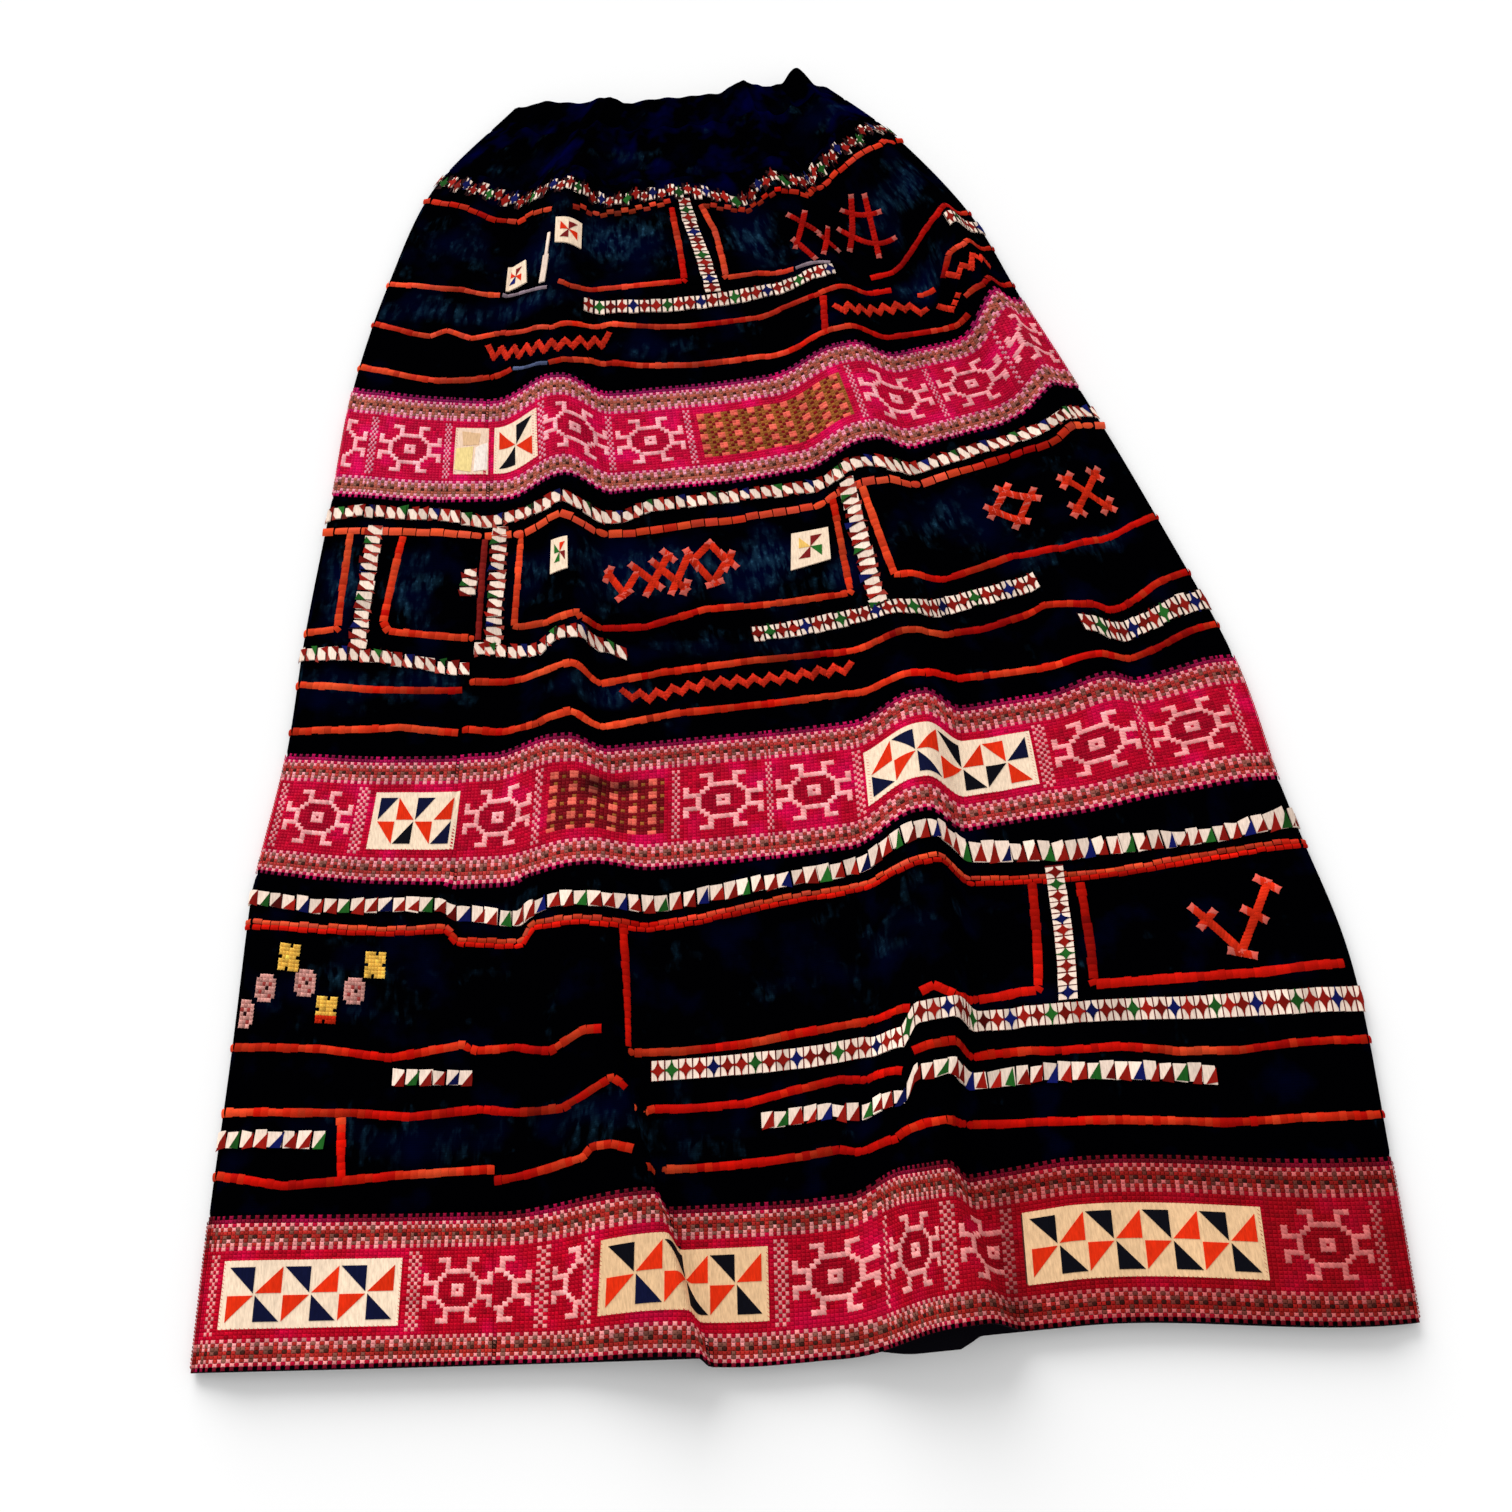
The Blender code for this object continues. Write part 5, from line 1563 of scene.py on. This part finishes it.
# %% [markdown]
# ## Orange lines
#
# Rows of thick orange thread frame the panels. Each row is couched in short stitches, so it looks
# like a string of small padded blocks. The lines were read off the photograph as places and drops.
# The thread's colour changes slowly along a line, and a little from block to block.

# %% Orange lines
ORANGE, VERMILION, FADED = dye(228, 80, 40), dye(184, 12, 0), dye(150, 130, 140)
SALMON, SALMON_SHARE = dye(216, 88, 74), (0.45, 0.05)
DIM_RED, FADED_BLUE = dye(120, 24, 20), dye(84, 96, 130)
PURE_RED = dye(196, 18, 6)
# Where a line was gathered its blocks sit in turn above and below it, by its stagger.
Line = namedtuple("Line", "points width colour pitch stagger", defaults=(4.4, ORANGE, 4.4, 0.0))
# The lowest panel's first line is two rows side by side.
DOUBLE_LINE = ((0, 680), (0.068, 677), (0.14, 675.5), (0.184, 673.4), (0.191, 676.3), (0.254, 679),
               (0.261, 675.8), (0.333, 682), (0.42, 678), (0.496, 672), (0.572, 669), (0.614, 672.7),
               (0.653, 670.6), (0.719, 674), (0.81, 677.4), (0.945, 677.3), (1, 676))
LINES = {1: (
    Line(((0, 107), (0.09, 108.5), (0.17, 105.5), (0.265, 118.5)), 4.8, ORANGE, 8),
    Line(((0.305, 115), (0.335, 110.5), (0.37, 106.5), (0.43, 106), (0.505, 99.5)), 4.2, ORANGE, 5.4, 1.2),
    Line(((0.57, 107), (0.595, 109), (0.65, 115.5), (0.68, 112), (0.72, 109), (0.745, 111)), 4.2, ORANGE,
        5.4, 1.2),
    Line(((0.745, 111.5), (0.78, 114.5), (0.815, 100), (0.86, 98.5), (0.9, 107), (0.94, 118), (1, 107.5)),
        4.8, ORANGE, 8),
    Line(((0, 182.7), (0.176, 185), (0.186, 185))),
    Line(((0.19, 185), (0.27, 192)), 3, FADED),
    Line(((0.288, 187.2), (0.308, 190), (0.354, 185), (0.444, 183.8), (0.4995, 183.3), (0.504, 141),
        (0.5053, 106))),
    Line(((0.5669, 106), (0.578, 133), (0.5713, 183), (0.629, 180), (0.686, 184))),
    Line(((0.69, 184), (0.7485, 183.4)), 3, FADED),
    Line(((0.813, 189), (0.863, 183), (0.886, 184.5), (0.908, 188.5), (0.933, 193), (1, 186.8))),
    Line(((0, 218), (0.06, 223.8), (0.09, 224.9), (0.114, 219.5), (0.153, 223.9), (0.2, 218), (0.245, 225),
        (0.285, 231), (0.334, 221), (0.374, 216.4), (0.412, 219.6), (0.454, 222.6), (0.5, 224),
        (0.545, 223.5), (0.612, 222), (0.65, 217.5), (0.706, 219), (0.769, 208), (0.836, 204.5))),
    Line(((0.873, 213.5), (0.896, 222.9))),
    Line(((0.909, 226), (0.925, 222), (0.946, 229), (1, 223.6))),
    Line(((0.715, 222), (0.7, 262)), 4.8),
    Line(((0, 255.5), (0.08, 259), (0.12, 260.5), (0.16, 258), (0.2, 254), (0.225, 252)), 4.8),
    Line(((0.228, 252.5), (0.255, 259), (0.284, 263.5)), 3, FADED_BLUE),
    Line(((0.286, 263.5), (0.318, 259.7), (0.345, 250.5), (0.38, 249.4), (0.42, 253.5), (0.467, 255.7),
        (0.507, 256.8), (0.6, 256.5), (0.661, 260.7), (0.78, 257.5), (0.891, 260), (0.918, 266)), 4.8),
    Line(((0.922, 255), (0.947, 266), (1, 260)), 4.8),
), 2: (
    Line(((0, 389.5), (0.09, 385.5), (0.14, 385.5), (0.2, 390.5), (0.23, 389.5), (0.255, 392.5),
        (0.295, 391), (0.315, 397), (0.345, 395), (0.39, 396), (0.455, 393), (0.56, 391), (0.615, 392),
        (0.645, 388.5), (0.7, 394), (0.73, 394.5), (0.76, 391), (0.845, 388.5), (0.885, 388),
        (0.92, 394.5), (0.94, 395.5), (0.96, 392.5), (1, 395)), 5.6, ORANGE, 9.4),
    Line(((0.0288, 390), (0.033, 466), (0, 469)), 5),
    Line(((0.0945, 390), (0.089, 425), (0.0847, 459), (0.0916, 466), (0.1495, 470), (0.1907, 473.4)), 5),
    Line(((0.1984, 393), (0.1953, 475)), 4, DIM_RED),
    Line(((0.244, 391), (0.2364, 466), (0.273, 472), (0.3087, 470.6), (0.3095, 474.3), (0.332, 472),
        (0.388, 473.8), (0.459, 464), (0.5655, 466), (0.6287, 467), (0.6409, 391)), 5),
    Line(((0.677, 395), (0.679, 470), (0.715, 472.6), (0.824, 466), (0.875, 475), (0.961, 473),
        (1, 470.8)), 5),
    Line(((0, 508), (0.096, 510), (0.1775, 511.6)), 5),
    Line(((0.185, 506.3), (0.27, 510), (0.294, 508), (0.329, 513.5), (0.397, 509.5), (0.503, 506.5),
        (0.603, 508.8), (0.634, 510.5), (0.666, 513), (0.69, 515.5), (0.725, 509), (0.757, 510),
        (0.831, 505), (0.863, 513), (0.894, 516.5), (0.958, 509.5), (1, 507.4)), 5),
    Line(((0, 542), (0.112, 537), (0.174, 542)), 5),
    Line(((0.178, 540), (0.258, 548), (0.291, 543), (0.328, 544.7), (0.403, 540), (0.492, 539),
        (0.589, 538.5), (0.634, 543.5), (0.67, 547), (0.701, 539.5), (0.755, 541), (0.803, 542),
        (0.872, 547), (0.925, 543.5), (0.96, 541), (1, 539)), 5),
), 3: (
    Line(tuple((place, drop - 1.5) for place, drop in DOUBLE_LINE), 3.3, ORANGE, 6),
    Line(tuple((place, drop + 1.5) for place, drop in DOUBLE_LINE), 3.3, PURE_RED, 6),
    Line(((0.3469, 683), (0.3454, 751)), 5.4, PURE_RED),
    Line(((0.7353, 677), (0.7154, 751.5), (0.68, 751), (0.657, 749.5), (0.637, 756.5), (0.6167, 747),
        (0.604, 749)), 5.6, PURE_RED),
    Line(((0.7797, 681), (0.7662, 751.5), (0.918, 754.8), (0.9956, 753.8)), 5.8, PURE_RED),
    Line(((0, 751), (0.078, 750), (0.138, 754), (0.2, 745.5), (0.212, 748.5), (0.247, 746.5), (0.277, 754),
        (0.3036, 747), (0.319, 747.7)), 5),
    Line(((0.3455, 753), (0.389, 754), (0.45, 752.5), (0.495, 749.3), (0.535, 748.3), (0.5625, 748.5),
        (0.577, 753), (0.5927, 757.5)), 5),
    Line(((0, 787), (0.108, 786.4), (0.158, 788.4), (0.222, 784), (0.288, 790), (0.304, 786), (0.328, 778),
        (0.34, 783.8)), 5),
    Line(((0.349, 791), (0.368, 786.5), (0.395, 787.5), (0.449, 786.5), (0.492, 781), (0.531, 778.5),
        (0.563, 782.5), (0.582, 791)), 5),
    Line(((0.592, 781), (0.607, 779.3), (0.6215, 780), (0.665, 782), (0.719, 786.7), (0.781, 787),
        (0.832, 791), (0.885, 792), (0.934, 790), (1, 790.5)), 5),
    Line(((0.1, 789), (0.1059, 822.6)), 5),
    Line(((0, 821), (0.058, 827), (0.151, 821.6), (0.235, 818.4)), 5),
    Line(((0.236, 825), (0.307, 821), (0.313, 816.3), (0.33, 817), (0.347, 821)), 5),
    Line(((0.3585, 832), (0.38, 821.5), (0.402, 821.8), (0.46, 820.3), (0.53, 817.5), (0.575, 827),
        (0.585, 823.5), (0.6, 821.6), (0.621, 821.7), (0.639, 816), (0.67, 819.4), (0.722, 824),
        (0.78, 825), (0.864, 826), (0.936, 823.4), (1, 823.5)), 5),
)}
BLOCK_HEIGHT, FINE_PITCH, STAGGERED_SHADE = 1.0, 5.0, 0.45
ROUGH_WIDTH = 600
# How red the lines are at the left and the right. Each tier's first line is its own thread.
LATER_LINES = {1: (0.45, 1.0), 2: (0.45, 1.0), 3: (0.8, 1.0)}
FIRST_LINES = {1: (0.4, 0.85), 2: (0.05, 0.6), 3: (0.25, 0.45)}
COLOUR_RUN, THREAD_SHADE = 6, 0.84
HUE_RUN, HUE_SPREAD, SHADE_RUN, SHADE_SPREAD = 0.3, 0.12, 0.22, 0.12
# For first lines and later ones: a block's share of its pitch, and how far it strays sideways.
BLOCK_SHARES, STRAY = (0.92, 1.02), (0.3, 0.1)
WIDTH_SPREAD = 0.06
print("lines:", {tier: len(lines) for tier, lines in LINES.items()})

# %% [markdown]
# A line's blocks are spaced evenly over the folds. A bevelled curve would give a smooth cord, where
# the real thread shows every couching stitch.

# %% Follow a line
def along_path(points, pitch):
    """Even steps along a line on the cloth: middles, directions and ways out."""
    points = list(points)
    if points[0][0] == 0:
        points.insert(0, (OVER_LEFT, points[0][1]))
    if points[-1][0] == 1:
        points.append((OVER_RIGHT, points[-1][1]))
    if points[-1][0] == 0:
        points.append((OVER_LEFT, points[-1][1]))
    turns, drops = np.array(points, float).T
    steps = running(np.hypot(np.diff(turns) * ROUGH_WIDTH, np.diff(drops)))
    fine = np.linspace(0, steps[-1], max(int(steps[-1]), 8))
    turns, drops = np.interp(fine, steps, turns), np.interp(fine, steps, drops)
    lengths = lengths_along(tube(np.mod(turns, 4), drops, 0.0)[0])

    def on_cloth(at):
        return tube(np.mod(np.interp(at, lengths, turns), 4), np.interp(at, lengths, drops), 0.0)

    ends = np.linspace(0, lengths[-1], max(round(lengths[-1] / pitch), 1) + 1)
    middles = (ends[1:] + ends[:-1]) / 2
    spot, out = on_cloth(middles)
    return spot, np.diff(on_cloth(ends)[0], axis=0), out, np.interp(middles, lengths, turns)


print("blocks of the first line:", len(along_path(LINES[1][0].points, LINES[1][0].pitch)[0]))

# %% [markdown]
# The thread's colour wanders between orange and vermilion, and each block differs a little in width
# and in how straight it sits.

# %% Sew the orange lines
def line_colours(base, turns, redness, salmon=0.0):
    """The line's colour at each stitch: redder to the right, and uneven along it."""
    knots = np.arange(0, len(turns) + COLOUR_RUN, COLOUR_RUN)
    hue = np.interp(np.arange(len(turns)), knots, random.normal(0.0, HUE_RUN, len(knots)))
    hue = hue + random.normal(0, HUE_SPREAD, len(turns))
    share = np.clip(between(*redness, turns) + hue, 0, 1)
    colours = np.tile(base, (len(turns), 1))
    if base is ORANGE:
        colours = between(colours, SALMON, random.uniform(0, salmon, (len(turns), 1)))
        colours = between(colours, VERMILION, share[:, None])
    slow = np.interp(np.arange(len(turns)), knots, random.normal(1.0, SHADE_RUN, len(knots)))
    colours[:, :3] *= (THREAD_SHADE * slow * random.normal(1.0, SHADE_SPREAD, len(turns)))[:, None]
    return np.clip(colours, 0.001, 1)


def add_line(sewing, line, tier):
    """One line of padded blocks, uneven in width and colour."""
    spot, along, out, turns = along_path(line.points, line.pitch)
    later = line.pitch <= FINE_PITCH
    redness = (LATER_LINES if later else FIRST_LINES)[tier]
    size = np.stack([np.linalg.norm(along, axis=1) * BLOCK_SHARES[later],
                     np.full(len(spot), line.width * MM), np.full(len(spot), BLOCK_HEIGHT * MM)], 1)
    size[:, 1] *= random.normal(1.0, WIDTH_SPREAD, len(spot))
    shift = random.normal(0, STRAY[later], len(spot))
    shift += line.stagger * np.where(np.arange(len(spot)) % 2, 1, -1)
    spot = spot + unit(np.cross(out, along)) * shift[:, None] * MM
    colours = line_colours(line.colour, turns, redness, SALMON_SHARE[later and tier > 1])
    if line.stagger:
        colours[::2, :3] *= STAGGERED_SHADE
    sewing.add(spot, along, out, size, colours)


for tier, lines in LINES.items():
    sewing = Threads()
    for line in lines:
        add_line(sewing, line, tier)
    keep(sewing.sew(f"orange_lines_{tier}", BLOCK, ORANGE_THREAD, 0.05))

# %% [markdown]
# ## Red motifs, zigzags and flowers
#
# Crosses, diamonds and a check mark are worked in red cross-stitch on the dark panels, with little
# flowers in yellow and pink. A motif is a set of strokes in millimetres round its middle, and each
# stroke ends in a short cross bar.

# %% Motifs
Motif = namedtuple("Motif", "tier place drop turn width strokes")
MOTIF_PITCH = 2.5
DIAMOND = (((-13, 0), (0, -13)), ((0, -13), (13, 0)), ((13, 0), (0, 13)), ((0, 13), (-13, 0)),
           ((-17, -4), (-9, 4)), ((-17, 4), (-9, -4)), ((17, -4), (9, 4)), ((17, 4), (9, -4)),
           ((-4, -17), (4, -9)), ((4, -17), (-4, -9)), ((-4, 17), (4, 9)), ((4, 17), (-4, 9)))
SAW = (((-15, -15), (15, 15)), ((-15, 15), (15, -15)), ((-15, -8), (-8, -15)), ((8, 15), (15, 8)),
       ((-15, 8), (-8, 15)), ((8, -15), (15, -8)))
CHECK_MARK = (((-22, -17), (0, 15)), ((0, 15), (32, -27)), ((-20, -4), (-10, -12)),
              ((-6, 14), (7, 18)), ((11, -11), (21, -3)), ((27, -30), (36, -22)))
MOTIFS = (
    Motif(2, 0.8506, 428.5, 0, 5.2, DIAMOND), Motif(2, 0.937, 441, 6, 5.2, SAW),
    Motif(3, 0.905, 727, 0, 5.4, CHECK_MARK),
)
# Motifs that the folds have pulled out of shape. Their strokes are read off as places and drops.
Drawn = namedtuple("Drawn", "tier colour width strokes")
RED_THREAD, DULL_RED, PINK_TIP = dye(214, 44, 18), dye(176, 16, 8), dye(236, 160, 146)
DRAWN = (
    Drawn(1, DULL_RED, 4.2, (
        ((0.721, 134), (0.757, 151.5)), ((0.753, 132.5), (0.705, 164)), ((0.7075, 157.5), (0.726, 179)),
        ((0.7855, 142.5), (0.7465, 173)), ((0.7575, 154.5), (0.779, 165)))),
    Drawn(1, DULL_RED, 4.6, (
        ((0.864, 120.5), (0.806, 159.5)), ((0.8795, 129.5), (0.85, 166.5)),
        ((0.84, 124), (0.883, 145.5)), ((0.811, 140), (0.881, 166.5)))),
    Drawn(2, RED_THREAD, 5.2, (
        ((0.3485, 426.5), (0.3665, 446)), ((0.3665, 446), (0.3845, 429.5)), ((0.346, 433), (0.353, 424)),
        ((0.36, 449), (0.373, 444)), ((0.379, 423), (0.41, 443)), ((0.3935, 447.5), (0.4245, 417)),
        ((0.405, 421.5), (0.44, 446.5)), ((0.423, 448), (0.45, 417.5)), ((0.437, 449), (0.443, 441)),
        ((0.42, 414), (0.43, 421)), ((0.454, 423), (0.4775, 410.5)), ((0.4775, 410.5), (0.494, 427)),
        ((0.494, 427), (0.473, 443.5)), ((0.473, 443.5), (0.454, 423)), ((0.448, 415), (0.458, 430)),
        ((0.468, 445), (0.482, 443)), ((0.49, 433), (0.502, 420)), ((0.489, 420), (0.503, 431)))),
)
ZIGZAGS = (
    (1, ((0.184, 234), (0.216, 236.5), (0.249, 243), (0.281, 248.5), (0.309, 246.5), (0.335, 237),
         (0.371, 229)), 10.3, 7.5),
    (1, ((0.729, 239.5), (0.766, 235), (0.804, 225.5), (0.845, 226), (0.873, 237)), 10.3, 7.5),
    (1, ((0.893, 240), (0.916, 251)), 8.0, 6.5),
    (1, ((0.915, 232), (0.94, 245.5), (0.978, 242)), 9.0, 6.0),
    (2, ((0.352, 522.5), (0.379, 526), (0.442, 520.5), (0.518, 521.7), (0.602, 520.5)), 11.0, 4.6),
)
ROUND_FLOWER = (".xxxx.", "xxxxxx", "xxpxpx", "xxxoxx", "xpxxxx", "xxxxpx", ".xxxx.")
SQUARE_FLOWER = ("xxx.xx", "xxxxxx", "xxxxxx", ".xxxx.", "xxxxxx", "xxxxxx", "xx.xxx")
YELLOW, FLOWER_PINK, FLOWER_RED = dye(230, 180, 76), dye(204, 146, 136), dye(196, 40, 14)
PETAL_RED = dye(160, 62, 58)
FLOWERS = (
    (0.0396, 697, YELLOW, YELLOW), (0.1183, 697.3, YELLOW, YELLOW), (0.0773, 726.6, YELLOW, FLOWER_RED),
    (0.0208, 716.5, FLOWER_PINK, FLOWER_PINK), (0.0563, 711.4, FLOWER_PINK, FLOWER_PINK),
    (0.1009, 714, FLOWER_PINK, FLOWER_PINK), (0.003, 732, FLOWER_PINK, FLOWER_PINK),
)
FLOWER_PITCH = 2.1
FLOWER_MARKS = {"o": BROWN_BLACK, "p": PETAL_RED}
ZIGZAG_WIDTH, ZIGZAG_RED = 4.6, dye(206, 44, 24)
CROSS_LIFT, CROSS_HEIGHT, NEARBY = 0.1, 0.75, 0.002
print("motifs:", len(MOTIFS) + len(DRAWN), "zigzags:", len(ZIGZAGS), "flowers:", len(FLOWERS))

# %% [markdown]
# Every stroke, zigzag and flower is a row of crosses, turned the way that it runs on the cloth.

# %% Sew the motifs
MOTIF_SEWING = {tier: Threads() for tier in LINES}


def front_width(drop):
    return way_across(drop, 0.0, 1.0)[1][-1]


def add_crosses(sewing, places, drops, turn, pitch, width, colours):
    """Cross-stitches at given places and drops, all turned the same way on the cloth."""
    spot, out = tube(np.clip(places, 0, 1), drops, CROSS_LIFT)
    beside, _ = tube(np.clip(places + NEARBY * math.cos(turn), 0, 1),
                     drops + NEARBY * front_width(drops.mean()) * math.sin(turn), CROSS_LIFT)
    size = np.broadcast_to(np.array([pitch, width, CROSS_HEIGHT]) * MM, spot.shape)
    sewing.add(spot, beside - spot, out, size, colours)


def sew_stroke(tier, start, end, width, colour, tips=0.25):
    """A row of crosses between two ends, given as places and drops. Its tips are paler."""
    across = front_width((start[1] + end[1]) / 2)
    run, fall = (end[0] - start[0]) * across, end[1] - start[1]
    count = max(round(math.hypot(run, fall) / MOTIF_PITCH) + 1, 2)
    places, drops = (np.linspace(a, b, count) for a, b in zip(start, end))
    colours = line_colours(colour, np.full(count, 0.5), (0, 0))
    colours[[0, -1]] = between(colours[[0, -1]], PINK_TIP, tips)
    add_crosses(MOTIF_SEWING[tier], places, drops, math.atan2(fall, run), width, width, colours)


for motif in MOTIFS:
    across, lean = front_width(motif.drop), math.radians(motif.turn)
    for stroke in motif.strokes:
        ends = [(motif.place + (x * math.cos(lean) - y * math.sin(lean)) / across,
                 motif.drop + x * math.sin(lean) + y * math.cos(lean)) for x, y in stroke]
        sew_stroke(motif.tier, *ends, motif.width, RED_THREAD)
for drawn in DRAWN:
    for start, end in drawn.strokes:
        sew_stroke(drawn.tier, start, end, drawn.width, drawn.colour)
for tier, path, pitch, height in ZIGZAGS:
    places, drops = np.array(path).T
    width = front_width(drops.mean())
    count = int((places[-1] - places[0]) * width / pitch * 2)
    x = np.linspace(places[0], places[-1], count + 1)
    y = np.interp(x, places, drops) + np.where(np.arange(count + 1) % 2, height / 2, -height / 2)
    for a in range(count):
        sew_stroke(tier, (x[a], y[a]), (x[a + 1], y[a + 1]), ZIGZAG_WIDTH, ZIGZAG_RED, 0.0)
for place, drop, upper, lower in FLOWERS:
    width = front_width(drop)
    for r, row in enumerate(ROUND_FLOWER if upper is FLOWER_PINK else SQUARE_FLOWER):
        columns = np.array([c for c, mark in enumerate(row) if mark != "."])
        petal = upper if r < 5 else lower
        colours = np.array([FLOWER_MARKS[row[c]] if row[c] in FLOWER_MARKS else shade(petal, 0.2)
                            for c in columns])
        places = place + (columns - 2.5) * FLOWER_PITCH / width
        drops = np.full(len(columns), drop + (r - 3) * FLOWER_PITCH * 1.1)
        shown = places > 0
        if shown.any():
            add_crosses(MOTIF_SEWING[3], places[shown], drops[shown], 0.0, FLOWER_PITCH * 1.2,
                        FLOWER_PITCH * 1.3, colours[shown])
for tier, sewing in MOTIF_SEWING.items():
    keep(sewing.sew(f"motifs_{tier}", CROSS, ORANGE_THREAD))

# %% [markdown]
# ## Floor and light
#
# The skirt lies on a plain white floor. A low, broad light from beyond the waist, a little to the
# left, gives the folds their shaded sides and the soft shadow below the hem. The sky fills the rest.

# %% Floor and light
FLOOR_SIZE, FLOOR_BELOW = 12.0, 0.0003
KEY_ENERGY, KEY_ANGLE, SKY_STRENGTH = 3.3, 50, 0.72
floor_mesh = bpy.data.meshes.new("floor")
floor_mesh.from_pydata([((x - 0.5) * FLOOR_SIZE, (y - 0.5) * FLOOR_SIZE, 0) for x, y in SQUARE], [],
                       [(0, 1, 2, 3)])
floor = scene_object("floor", floor_mesh)
floor.location.z = -FLOOR_BELOW
floor_material, _, shader = new_material("white_floor", 0.9, 0.1)
shader.inputs["Base Color"].default_value = (0.93, 0.93, 0.93, 1)
floor_mesh.materials.append(floor_material)

KEY_DIRECTION = Vector((0.24, -0.82, -0.32))
key_light = bpy.data.lights.new("key", "SUN")
key_light.energy = KEY_ENERGY
key_light.angle = math.radians(KEY_ANGLE)
key = scene_object("key", key_light)
key.rotation_euler = KEY_DIRECTION.to_track_quat("-Z", "Y").to_euler()

world = bpy.data.worlds.new("sky")
world.use_nodes = True
sky = world.node_tree.nodes["Background"].inputs
sky["Color"].default_value = (1, 1, 1, 1)
sky["Strength"].default_value = SKY_STRENGTH
bpy.context.scene.world = world
bpy.context.scene.view_settings.view_transform = "Standard"
print("light turned by", [round(math.degrees(a)) for a in key.rotation_euler], "degrees")

# %% [markdown]
# ## Pieces on the body
#
# Every tube of cloth stands for its solid, which is hidden, and the trim for the solids of its strips,
# bars and squares. Every piece hangs on the root body, and the shapes of the stitches are removed.

for name, (piece, *_) in PIECES.items():
    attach(piece, "root")
    thread = name.startswith(("band", "stitched", "orange", "motifs")) and "patches" not in name
    cotton = name.startswith("white") or "patches" in name
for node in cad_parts:
    if node in PIECES:
        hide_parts(node)
for tier in (1, 2, 3):
    laid = [item.name for item in STRIPS + PATCHES if item.tier == tier]
    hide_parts(*laid)
SEWN_ON = {f"dark_panel_{tier}": [f"white_trim_{tier}", f"orange_lines_{tier}", f"motifs_{tier}"]
           for tier in (1, 2, 3)}
SEWN_ON.update({f"stitched_band_{band}": [f"band_{band}_stitches", f"band_{band}_patches"]
                for band in BANDS})
for shape in (CROSS, BLOCK):
    bpy.data.objects.remove(shape)
print("pieces:", len(PIECES))

# %% [markdown]
